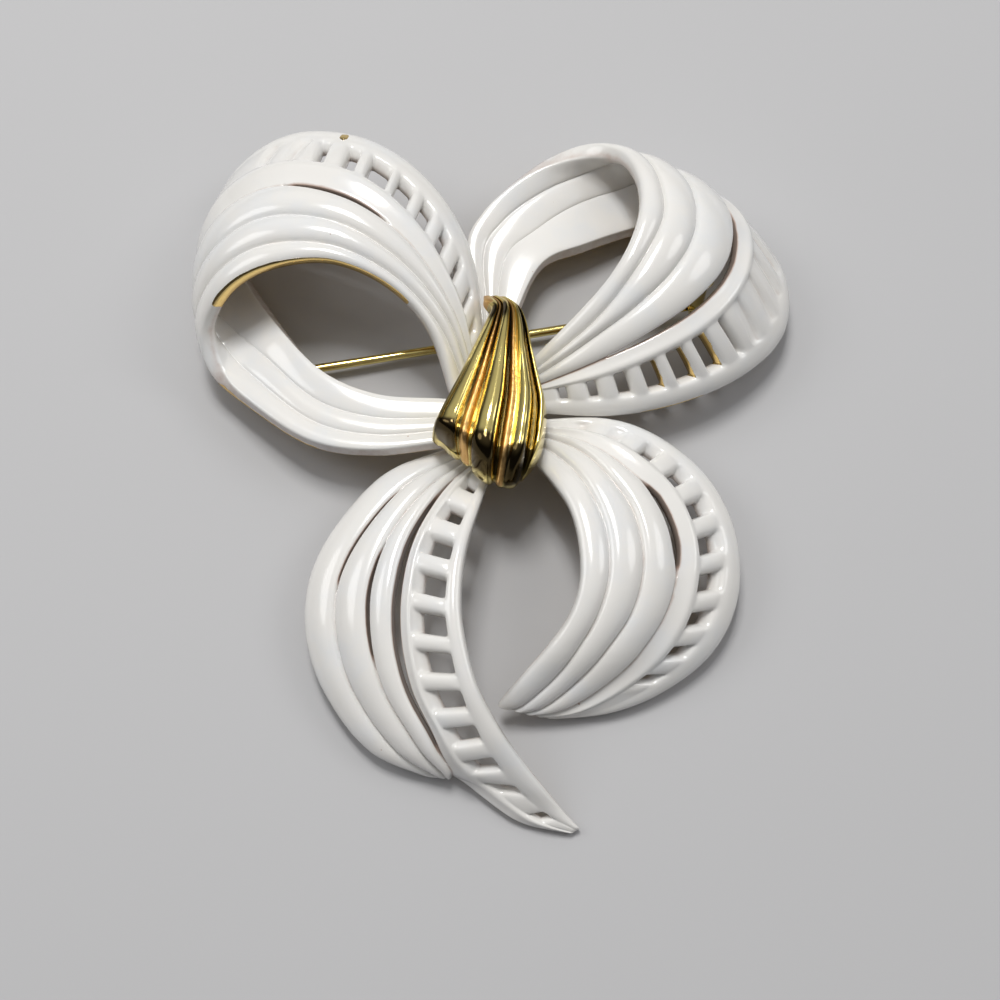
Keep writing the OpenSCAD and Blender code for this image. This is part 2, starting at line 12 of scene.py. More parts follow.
import bpy
import numpy as np
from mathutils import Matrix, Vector

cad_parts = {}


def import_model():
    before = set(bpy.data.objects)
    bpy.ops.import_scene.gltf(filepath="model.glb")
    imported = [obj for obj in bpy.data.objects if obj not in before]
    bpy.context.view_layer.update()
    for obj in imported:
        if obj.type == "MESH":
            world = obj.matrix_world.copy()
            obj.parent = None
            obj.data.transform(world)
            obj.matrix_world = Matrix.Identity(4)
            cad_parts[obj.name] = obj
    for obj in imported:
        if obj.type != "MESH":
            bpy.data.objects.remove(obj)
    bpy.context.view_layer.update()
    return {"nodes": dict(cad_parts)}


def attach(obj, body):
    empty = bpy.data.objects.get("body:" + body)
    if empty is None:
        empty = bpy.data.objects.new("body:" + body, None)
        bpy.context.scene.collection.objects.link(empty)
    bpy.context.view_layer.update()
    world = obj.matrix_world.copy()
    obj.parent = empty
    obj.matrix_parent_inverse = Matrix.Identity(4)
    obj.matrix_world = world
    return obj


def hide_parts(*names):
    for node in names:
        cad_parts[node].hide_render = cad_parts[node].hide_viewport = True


LOG = logging.getLogger("brooch")
MM = 0.001

# The knot's middle, from which every ribbon is measured, in millimetres
KNOT_AT = np.array([-0.24, 5.56, -0.28])


class Mask(Enum):
    """What is painted on the vertices, for the finishes to read."""

    GOLD = "bare_gold"
    # Grime and painted shade on the ribbons; painted shade and painted dark reflections on the knot
    GRIME = "grime_and_painted_light"
    STRIP = "rough_strip"


class Slot(Enum):
    """The record's material slots."""

    ENAMEL = "enamel"
    GOLD = "gold"


class Side(Enum):
    """Which way a ribbon's table faces out."""

    LEFT_HANDED = -1
    RIGHT_HANDED = 1


# Shader graphs


class Graph:
    """Lays nodes in a shader tree and joins them."""

    def __init__(self, tree: bpy.types.NodeTree) -> None:
        """Starts from an empty tree.

        Args:
            tree: The material's or the group's node tree.
        """
        self.tree = tree
        self.tree.nodes.clear()
        self.count = 0

    def add(self, kind: str, sockets: dict[Any, Any] | None = None, **settings: Any) -> bpy.types.Node:
        """Adds a node.

        Args:
            kind: The node's type.
            sockets: For each input, by name or number, a value or the output that feeds it.
            **settings: The node's own properties.

        Returns:
            The new node.
        """
        node = self.tree.nodes.new(kind)
        node.location = (220 * (self.count % 8), -260 * (self.count // 8))
        self.count += 1
        for name, value in settings.items():
            setattr(node, name, value)
        for key, value in (sockets or {}).items():
            if isinstance(value, bpy.types.NodeSocket):
                self.tree.links.new(value, node.inputs[key])
            else:
                node.inputs[key].default_value = value
        return node

    def math(self, operation: str, *values: Any) -> bpy.types.NodeSocket:
        """Adds a Math node and returns its output.

        Args:
            operation: The node's operation.
            *values: Its inputs, in order.

        Returns:
            The node's output.
        """
        node = self.add("ShaderNodeMath", dict(enumerate(values)), operation=operation)
        return node.outputs[0]

    def step(self, value: Any, low: Any, high: Any) -> bpy.types.NodeSocket:
        """Returns 0 below low and 1 above high, with a soft rise between.

        Args:
            value: The output that is compared.
            low: Where the rise begins.
            high: Where it ends.

        Returns:
            The rise.
        """
        node = self.add("ShaderNodeMapRange", {"Value": value, "From Min": low, "From Max": high},
                        interpolation_type="SMOOTHSTEP")
        return node.outputs["Result"]

    def mix(self, share: Any, first: Any, second: Any) -> bpy.types.NodeSocket:
        """Returns a colour between two.

        Args:
            share: 0 for the first and 1 for the second.
            first: A colour or an output.
            second: A colour or an output.

        Returns:
            The mixed colour.
        """
        node = self.add("ShaderNodeMix", {0: share, 6: first, 7: second}, data_type="RGBA")
        return node.outputs[2]

    def noise(self, place: Any, per_mm: float, detail: float = 2.0,
              rough: float = 0.5) -> bpy.types.NodeSocket:
        """Returns a noise value.

        Args:
            place: The coordinates' output.
            per_mm: How many lumps lie along a millimetre.
            detail: How many finer layers it has.
            rough: How strong the finer layers are.

        Returns:
            The noise, about 0.5.
        """
        node = self.add("ShaderNodeTexNoise", {"Vector": place, "Scale": per_mm / MM, "Detail": detail,
                                               "Roughness": rough})
        return node.outputs["Fac"]

    def place(self) -> bpy.types.NodeSocket:
        """Returns the coordinates on the object, in metres."""
        return self.add("ShaderNodeTexCoord").outputs["Object"]

    def painted(self, mask: Mask) -> bpy.types.NodeSocket:
        """Returns what is painted on the vertices under a mask's name."""
        return self.add("ShaderNodeAttribute", attribute_name=mask.value).outputs["Fac"]

    def use(self, tree: bpy.types.NodeTree, place: Any, **sockets: Any) -> bpy.types.Node:
        """Places one of the shared groups.

        Args:
            tree: The group.
            place: The coordinates' output.
            **sockets: Its other inputs.

        Returns:
            The group's node.
        """
        return self.add("ShaderNodeGroup", {"Place": place, **sockets}, node_tree=tree)

    def surface(self, sockets: dict[str, Any]) -> None:
        """Ends a material in a Principled shader with these inputs."""
        shader = self.add("ShaderNodeBsdfPrincipled", sockets)
        self.add("ShaderNodeOutputMaterial", {"Surface": shader.outputs["BSDF"]})


def rgba(colour: Sequence[float]) -> tuple[float, float, float, float]:
    """Returns a colour with full opacity."""
    return (*colour, 1.0)


class Effects:
    """The shader groups that more than one finish uses, each built once."""

    def __init__(self) -> None:
        """Starts with no group built."""
        self.built: dict[str, bpy.types.NodeTree] = {}

    def group(self, name: str, inputs: dict[str, float], outputs: Sequence[str],
              lay: Callable[[Graph, bpy.types.Node, bpy.types.Node], None]) -> bpy.types.NodeTree:
        """Builds a group once and returns it.

        Args:
            name: The group's name.
            inputs: Its number inputs and their usual values.
            outputs: Its number outputs.
            lay: Lays its nodes between its input and its output.

        Returns:
            The group's tree.
        """
        if name in self.built:
            return self.built[name]
        tree = bpy.data.node_groups.new(name, "ShaderNodeTree")
        tree.interface.new_socket("Place", in_out="INPUT", socket_type="NodeSocketVector")
        for key, value in inputs.items():
            socket = tree.interface.new_socket(key, in_out="INPUT", socket_type="NodeSocketFloat")
            socket.default_value = value
        for key in outputs:
            tree.interface.new_socket(key, in_out="OUTPUT", socket_type="NodeSocketFloat")
        graph = Graph(tree)
        start = graph.add("NodeGroupInput")
        end = graph.add("NodeGroupOutput")
        lay(graph, start, end)
        self.built[name] = tree
        return tree

    def ripple(self) -> bpy.types.NodeTree:
        """Builds the slow waves and fine pits of a poured or polished skin.

        Returns:
            The group, with inputs Waves and Pits and the output Height.
        """

        def lay(graph: Graph, start: bpy.types.Node, end: bpy.types.Node) -> None:
            """Lays the waves and the pits.

            Args:
                graph: The group's graph.
                start: Its input node.
                end: Its output node.
            """
            slow = graph.noise(start.outputs["Place"], per_mm=0.35, detail=1.0)
            fine = graph.noise(start.outputs["Place"], per_mm=3.0)
            waves = graph.math("MULTIPLY", slow, start.outputs["Waves"])
            pits = graph.math("MULTIPLY", fine, start.outputs["Pits"])
            graph.tree.links.new(graph.math("ADD", waves, pits), end.inputs["Height"])

        return self.group("skin_ripple", {"Waves": 1.0, "Pits": 0.1}, ["Height"], lay)

    def ragged(self) -> bpy.types.NodeTree:
        """Builds the ragged border of a painted mask.

        Returns:
            The group, with inputs Painted, Level, Raggedness and Softness and the output Mask.
        """

        def lay(graph: Graph, start: bpy.types.Node, end: bpy.types.Node) -> None:
            """Lays the border.

            Args:
                graph: The group's graph.
                start: Its input node.
                end: Its output node.
            """
            coarse = graph.noise(start.outputs["Place"], per_mm=0.8, detail=4.0, rough=0.6)
            shift = graph.math("MULTIPLY", graph.math("SUBTRACT", coarse, 0.5), start.outputs["Raggedness"])
            moved = graph.math("ADD", start.outputs["Painted"], shift)
            low = graph.math("SUBTRACT", start.outputs["Level"], start.outputs["Softness"])
            high = graph.math("ADD", start.outputs["Level"], start.outputs["Softness"])
            graph.tree.links.new(graph.step(moved, low, high), end.inputs["Mask"])

        inputs = {"Painted": 0.0, "Level": 0.5, "Raggedness": 0.3, "Softness": 0.03}
        return self.group("ragged_border", inputs, ["Mask"], lay)

    def stain(self) -> bpy.types.NodeTree:
        """Builds faint stains and small dark specks.

        Returns:
            The group, with the input Specks and the outputs Broad and Specks.
        """

        def lay(graph: Graph, start: bpy.types.Node, end: bpy.types.Node) -> None:
            """Lays the stains and the specks.

            Args:
                graph: The group's graph.
                start: Its input node.
                end: Its output node.
            """
            cloudy = graph.noise(start.outputs["Place"], per_mm=0.16, detail=4.0, rough=0.6)
            broad = graph.step(cloudy, 0.42, 0.72)
            dots = graph.add("ShaderNodeTexVoronoi", {"Vector": start.outputs["Place"], "Scale": 0.33 / MM})
            uneven = graph.noise(start.outputs["Place"], per_mm=0.21, detail=1.0)
            size = graph.math("MULTIPLY", uneven, start.outputs["Specks"])
            specks = graph.math("LESS_THAN", dots.outputs["Distance"], size)
            graph.tree.links.new(broad, end.inputs["Broad"])
            graph.tree.links.new(specks, end.inputs["Specks"])

        return self.group("faint_stain", {"Specks": 0.05}, ["Broad", "Specks"], lay)


EFFECTS = Effects()


def new_material(name: str) -> tuple[bpy.types.Material, Graph]:
    """Makes an empty node material.

    Args:
        name: Its name.

    Returns:
        The material and its graph.
    """
    material = bpy.data.materials.new(name)
    material.use_nodes = True
    return material, Graph(material.node_tree)


@dataclass(frozen=True)
class GoldFinish:
    """Polished gold plate with soft tarnish, painted shade and painted dark reflections, and a rougher copper
    tone where the plate is thin.
    """

    name: str
    colour: tuple[float, float, float] = (0.78, 0.65, 0.25)
    tarnish: tuple[float, float, float] = (0.50, 0.36, 0.12)
    copper: tuple[float, float, float] = (0.74, 0.46, 0.18)
    # The near-black brown of the painted shade in the knot's grooves and of the painted dark reflections on
    # its flutes, and how strongly it is laid
    painted_shade_and_reflection: tuple[float, float, float] = (0.032, 0.019, 0.010)
    tarnish_strength: float = 0.35
    painted_shade_and_reflection_strength: float = 0.95
    roughness: float = 0.10
    tarnish_roughness: float = 0.06
    strip_roughness: float = 0.34
    hammer_per_mm: float = 2.2
    hammer_height: float = 6.0
    relief_mm: float = 0.02
    relief_strength: float = 0.6

    def build(self) -> bpy.types.Material:
        """Lays the finish's nodes.

        Returns:
            The material.
        """
        material, graph = new_material(self.name)
        place = graph.place()
        stain = graph.use(EFFECTS.stain(), place, Specks=0.03)
        ripple = graph.use(EFFECTS.ripple(), place, Waves=0.5, Pits=0.05)
        strip = graph.use(EFFECTS.ragged(), place, Painted=graph.painted(Mask.STRIP), Level=0.5,
                          Raggedness=0.5, Softness=0.15).outputs["Mask"]
        # Painted shade and painted dark reflections, from the knot's painted mask
        painted_shade_and_reflection = graph.use(EFFECTS.ragged(), place, Painted=graph.painted(Mask.GRIME), Level=0.5,
                         Raggedness=0.3, Softness=0.3).outputs["Mask"]
        tarnished = graph.math("MULTIPLY", stain.outputs["Broad"], self.tarnish_strength)
        plain = graph.mix(tarnished, rgba(self.colour), rgba(self.tarnish))
        coppery = graph.mix(strip, plain, rgba(self.copper))
        colour = graph.mix(graph.math("MULTIPLY", painted_shade_and_reflection, self.painted_shade_and_reflection_strength), coppery, rgba(self.painted_shade_and_reflection))
        rough = graph.math("ADD", graph.math("MULTIPLY", strip, self.strip_roughness - self.roughness),
                           graph.math("MULTIPLY_ADD", stain.outputs["Broad"], self.tarnish_roughness,
                                      self.roughness))
        hammered = graph.math("MULTIPLY", graph.noise(place, self.hammer_per_mm), strip)
        height = graph.math("MULTIPLY_ADD", hammered, self.hammer_height, ripple.outputs["Height"])
        bump = graph.add("ShaderNodeBump", {"Height": height, "Distance": self.relief_mm * MM,
                                            "Strength": self.relief_strength})
        graph.surface({"Base Color": colour, "Metallic": 1.0, "Roughness": rough,
                       "Normal": bump.outputs["Normal"]})
        return material


@dataclass(frozen=True)
class EnamelFinish:
    """Warm white enamel on gold-coloured metal, with grime and painted shade in the grooves, slits, dimples
    and holes and on faces that look down, and bare metal where it stops.
    """

    name: str
    colour: tuple[float, float, float] = (0.80, 0.785, 0.755)
    cool: tuple[float, float, float] = (0.76, 0.765, 0.765)
    # The brown of grime and painted shade, also used for the dark specks, and the darker brown of painted
    # shade and grime in the slits and deep grooves
    grime_and_painted_light: tuple[float, float, float] = (0.40, 0.24, 0.17)
    deep: tuple[float, float, float] = (0.13, 0.075, 0.045)
    metal: tuple[float, float, float] = (0.84, 0.62, 0.25)
    # The dark copper tone that grime and painted shade give the bare metal
    copper: tuple[float, float, float] = (0.42, 0.22, 0.10)
    deepens: tuple[float, float] = (0.8, 1.15)
    grime_and_shade_strength: float = 0.85
    speck_strength: float = 0.6
    metal_grime_and_shade_strength: float = 0.7
    roughness: float = 0.17
    metal_roughness: float = 0.22
    coat: float = 0.35
    coat_roughness: float = 0.06
    enamel_step: float = 2.0
    relief_mm: float = 0.05
    relief_strength: float = 0.5

    def build(self) -> bpy.types.Material:
        """Lays the finish's nodes.

        Returns:
            The material.
        """
        material, graph = new_material(self.name)
        place = graph.place()
        stain = graph.use(EFFECTS.stain(), place, Specks=0.055)
        ripple = graph.use(EFFECTS.ripple(), place, Waves=1.0, Pits=0.05)
        bare = graph.use(EFFECTS.ragged(), place, Painted=graph.painted(Mask.GOLD), Level=0.5,
                         Raggedness=0.35, Softness=0.02).outputs["Mask"]
        # Grime and painted shade: grooves, slits, dimples, slats, hole walls and undersides darken
        painted = graph.painted(Mask.GRIME)
        grime_and_painted_light = graph.use(EFFECTS.ragged(), place, Painted=painted, Level=0.6, Raggedness=0.7,
                          Softness=0.5).outputs["Mask"]
        brown = graph.mix(graph.step(painted, *self.deepens), rgba(self.grime_and_painted_light), rgba(self.deep))
        white = graph.mix(stain.outputs["Broad"], rgba(self.colour), rgba(self.cool))
        dirty = graph.mix(graph.math("MULTIPLY", grime_and_painted_light, self.grime_and_shade_strength), white, brown)
        specks = graph.math("MULTIPLY", stain.outputs["Specks"], self.speck_strength)
        specked = graph.mix(specks, dirty, rgba(self.grime_and_painted_light))
        metal = graph.mix(graph.math("MULTIPLY", grime_and_painted_light, self.metal_grime_and_shade_strength), rgba(self.metal),
                          rgba(self.copper))
        height = graph.math("ADD", ripple.outputs["Height"], graph.math("MULTIPLY", bare, -self.enamel_step))
        bump = graph.add("ShaderNodeBump", {"Height": height, "Distance": self.relief_mm * MM,
                                            "Strength": self.relief_strength})
        rougher = self.metal_roughness - self.roughness
        graph.surface({
            "Base Color": graph.mix(bare, specked, metal),
            "Metallic": bare,
            "Roughness": graph.math("MULTIPLY_ADD", bare, rougher, self.roughness),
            "Normal": bump.outputs["Normal"],
            "Coat Weight": graph.math("MULTIPLY_ADD", bare, -self.coat, self.coat),
            "Coat Roughness": self.coat_roughness,
        })
        return material


@dataclass(frozen=True)
class FloorFinish:
    """A plain pale floor, a little darker in broad patches."""

    name: str
    colour: tuple[float, float, float] = (0.50, 0.50, 0.51)
    darker: tuple[float, float, float] = (0.42, 0.42, 0.42)
    patch_strength: float = 0.15
    patches_per_mm: float = 0.02
    roughness: float = 0.7

    def build(self) -> bpy.types.Material:
        """Lays the finish's nodes.

        Returns:
            The material.
        """
        material, graph = new_material(self.name)
        patches = graph.noise(graph.place(), self.patches_per_mm)
        shade = graph.math("MULTIPLY", patches, self.patch_strength)
        colour = graph.mix(shade, rgba(self.colour), rgba(self.darker))
        graph.surface({"Base Color": colour, "Roughness": self.roughness})
        return material


# Shapes


def smooth(low: float, high: float, x: Any) -> Any:
    """Returns 0 below low and 1 above high, with a soft rise between.

    Args:
        low: Where the rise begins.
        high: Where it ends.
        x: A number or an array.

    Returns:
        The rise.
    """
    t = np.clip((np.asarray(x, float) - low) / (high - low), 0, 1)
    return t * t * (3 - 2 * t)


def row_at(rows: np.ndarray, u: float) -> np.ndarray:
    """Returns a table's row at any place along it, on a smooth curve through its rows.

    Args:
        rows: The table.
        u: The place, counted in rows.

    Returns:
        The row there.
    """
    last = len(rows) - 1
    i = int(max(0, min(math.floor(u), last - 1)))
    before = rows[i - 1] if i > 0 else 2 * rows[0] - rows[1]
    after = rows[i + 2] if i + 2 <= last else 2 * rows[last] - rows[last - 1]
    b, c, t = rows[i], rows[i + 1], u - i
    return 0.5 * (2 * b + (c - before) * t + (2 * before - 5 * b + 4 * c - after) * t * t
                  + (3 * b - before - 3 * c + after) * t ** 3)


def unit(v: np.ndarray) -> np.ndarray:
    """Returns a vector's direction."""
    return v / np.linalg.norm(v)


def placed(name: str, data: bpy.types.ID) -> bpy.types.Object:
    """Puts a mesh, a lamp or a camera in the scene.

    Args:
        name: The object's name.
        data: What it shows.

    Returns:
        The object.
    """
    made = bpy.data.objects.new(name, data)
    bpy.context.scene.collection.objects.link(made)
    return made


@dataclass
class Sheet:
    """A bent sheet of metal with holes: a grid of points on its two faces, and walls where metal ends."""

    name: str
    front: np.ndarray
    back: np.ndarray
    metal: np.ndarray
    flip: bool
    masks: dict[Mask, tuple[np.ndarray, np.ndarray]] = field(default_factory=dict)
    creases: dict[int, float] = field(default_factory=dict)
    levels: int = 1

    def build(self) -> bpy.types.Object:
        """Builds the sheet as a smooth closed mesh.

        Returns:
            The piece.
        """
        n, c = self.front.shape[:2]
        points = np.concatenate([self.front.reshape(-1, 3), self.back.reshape(-1, 3)])
        quads = self.quads(n, c)
        used = np.unique(np.array(quads))
        place = -np.ones(len(points), int)
        place[used] = np.arange(len(used))
        mesh = bpy.data.meshes.new(self.name)
        mesh.from_pydata((points[used] * MM).tolist(), [], [[int(place[k]) for k in q] for q in quads])
        mesh.validate()
        for mask, (front, back) in self.masks.items():
            values = np.concatenate([front.ravel(), back.ravel()])[used].astype(np.float32)
            mesh.attributes.new(mask.value, "FLOAT", "POINT").data.foreach_set("value", values)
        self.crease(mesh, used, n * c, c)
        mesh.polygons.foreach_set("use_smooth", [True] * len(mesh.polygons))
        made = placed(self.name, mesh)
        rounding = made.modifiers.new("rounding", "SUBSURF")
        rounding.levels = rounding.render_levels = self.levels
        return made

    def quads(self, n: int, c: int) -> list[tuple[int, int, int, int]]:
        """Returns the faces: front and back where there is metal, and walls round every edge.

        Args:
            n: How many stations the grid has.
            c: How many columns it has.

        Returns:
            The corner numbers of each face.
        """
        faces = []
        metal = np.pad(self.metal, 1)
        back = n * c
        for i in range(n - 1):
            for j in range(c - 1):
                if not metal[i + 1, j + 1]:
                    continue
                f = i * c + j
                b = back + f
                faces.append((f, f + 1, f + c + 1, f + c))
                faces.append((b, b + c, b + c + 1, b + 1))
                if not metal[i + 1, j]:
                    faces.append((f, f + c, b + c, b))
                if not metal[i + 1, j + 2]:
                    faces.append((b + 1, b + c + 1, f + c + 1, f + 1))
                if not metal[i, j + 1]:
                    faces.append((f + 1, f, b, b + 1))
                if not metal[i + 2, j + 1]:
                    faces.append((b + c + 1, b + c, f + c, f + c + 1))
        return [q[::-1] for q in faces] if self.flip else faces

    def crease(self, mesh: bpy.types.Mesh, used: np.ndarray, half: int, c: int) -> None:
        """Keeps the chosen columns' edges sharp when the mesh is rounded.

        Args:
            mesh: The mesh.
            used: The grid number of each vertex.
            half: How many grid points a face of the sheet has.
            c: How many columns the grid has.
        """
        if not self.creases:
            return
        pairs = np.empty(len(mesh.edges) * 2, int)
        mesh.edges.foreach_get("vertices", pairs)
        grid = used[pairs].reshape(-1, 2)
        along = (np.abs(grid[:, 0] - grid[:, 1]) == c) & (grid[:, 0] // half == grid[:, 1] // half)
        columns = grid[:, 0] % half % c
        values = np.zeros(len(grid), np.float32)
        for column, sharpness in self.creases.items():
            values[along & (columns == column)] = sharpness
        mesh.attributes.new("crease_edge", "FLOAT", "EDGE").data.foreach_set("value", values)


# Ribbons


@dataclass(frozen=True)
class Ladder:
    """The windows along a ribbon's far edge.

    The first window's middle lies so many pitches along; each window's length is a share of the
    usual one, and 0 is a dimple in the enamel. Slats without holes may follow. A hole narrows
    towards the back: its ends taper, its near and far walls lean in by shares of its width, and it
    leans along the ribbon from the first number at the first window to the second at the last.
    """

    first: float
    pitch: float
    opening: tuple[float, ...]
    slats: int = 0
    taper: float = 0.2
    walls: tuple[float, float] = (0.1, 0.1)
    lean: tuple[float, float] = (0.0, 0.0)
    bare_ends: tuple[int, ...] = ()
    window_share: float = 0.56


@dataclass(frozen=True)
class Slit:
    """A groove that gapes: which groove, the rows where it begins and ends, and its share of the widest."""

    groove: int
    begins: float
    ends: float
    width: float


@dataclass(frozen=True)
class BareEdge:
    """Where the enamel stops short of an edge: a stretch of rows, and from the edge's share to the enamel's.

    The bare metal fades over so many rows at its ends, and it is on both faces or on the front alone.
    """

    begins: float
    ends: float
    from_share: float
    to_share: float
    strength: float = 1.0
    fade: float = 0.4
    both: bool = True

    def over(self, shares: np.ndarray) -> np.ndarray:
        """Returns how bare each share of the width is: fully for half the way, not where enamel begins."""
        way = (shares - self.from_share) / (self.to_share - self.from_share)
        return 1 - smooth(0.5, 1, way)


@dataclass(frozen=True)
class Chip:
    """A spot where the enamel came off: its row, its share of the width, and how far it reaches in each."""

    row: float
    share: float
    reach: tuple[float, float]


@dataclass(frozen=True)
class Mark:
    """What the ladder does at one station.

    It lies so many millimetres along. A hole opens from it on, a rim goes round a hole, bare metal
    shows, a dimple or a slat is as deep as its share says, and a rung is highest at its crest.
    """

    where: float
    hole: bool = False
    rim: bool = False
    taper: float = 0.0
    lean: float = 0.0
    bare: bool = False
    dimple: float = 0.0
    slat: float = 0.0
    crest: bool = False


@dataclass(frozen=True)
class Stations:
    """A ribbon's stations: their places, counted in rows, and what the ladder does at each."""

    us: np.ndarray
    marks: list[Mark]


@dataclass(frozen=True)
class Section:
    """A ribbon cut across: its near and far edges, the way that each edge heads, and the table's row."""

    near: np.ndarray
    far: np.ndarray
    near_heading: np.ndarray
    far_heading: np.ndarray
    row: np.ndarray

    @property
    def across(self) -> np.ndarray:
        """The way from the near edge to the far edge."""
        return self.far - self.near

    @property
    def width(self) -> float:
        """The width, in millimetres."""
        return float(np.linalg.norm(self.across))

    def heading(self, v: float) -> np.ndarray:
        """Returns the way that the ribbon heads at share v of its width."""
        return self.near_heading + (self.far_heading - self.near_heading) * v


# Profiles: place across from -1 to 1, and share of the relief
RIB_PROFILE = ((-1, 0.0), (-0.92, 0.40), (-0.66, 0.76), (-0.3, 0.96), (0.1, 1.0), (0.5, 0.87), (0.82, 0.57),
               (0.95, 0.31), (1, 0.0))
INNER_RAIL_PROFILE = ((-1, 0.1), (-0.8, 0.18), (-0.3, 0.50), (0.12, 0.92), (0.36, 1.12), (0.6, 1.1),
                      (0.85, 0.85), (1, 0.5))
OUTER_RAIL_PROFILE = ((-1, 0.5), (-0.8, 0.78), (-0.35, 1.0), (0.2, 0.99), (0.6, 0.75), (0.88, 0.42), (1, 0.1))
# Where the window's own columns lie, as shares of its width
WINDOW_COLUMNS = (0.14, 0.5, 0.86)
# How a dimple sinks along the ribbon, in half windows, and how a slat slopes down to the next one, in pitches
DIMPLE_SPREAD = ((-1.3, 0.0), (-0.6, 0.9), (0.0, 1.0), (0.6, 0.9), (1.3, 0.0))
SLAT_SPREAD = ((-0.30, 0.30), (-0.10, 0.85), (-0.03, 1.0), (0.03, 0.0), (0.30, 0.05))
# The columns of a ribbon's table
NEAR, FAR, GROOVES = slice(0, 3), slice(3, 6), slice(6, 9)
RAIL, OUTER_RAIL, CROWN, GAUGE = 9, 10, 11, 12
# A ribbon has as many grooves as ribs, and the last groove parts the ribs from the ladder
RIBS = 3
LADDER_GROOVE = RIBS - 1
# How finely a ribbon's length is measured, in steps a row, and how far apart its headings are taken, in rows
RUN_STEPS = 40
HEADING_STEP = 0.01


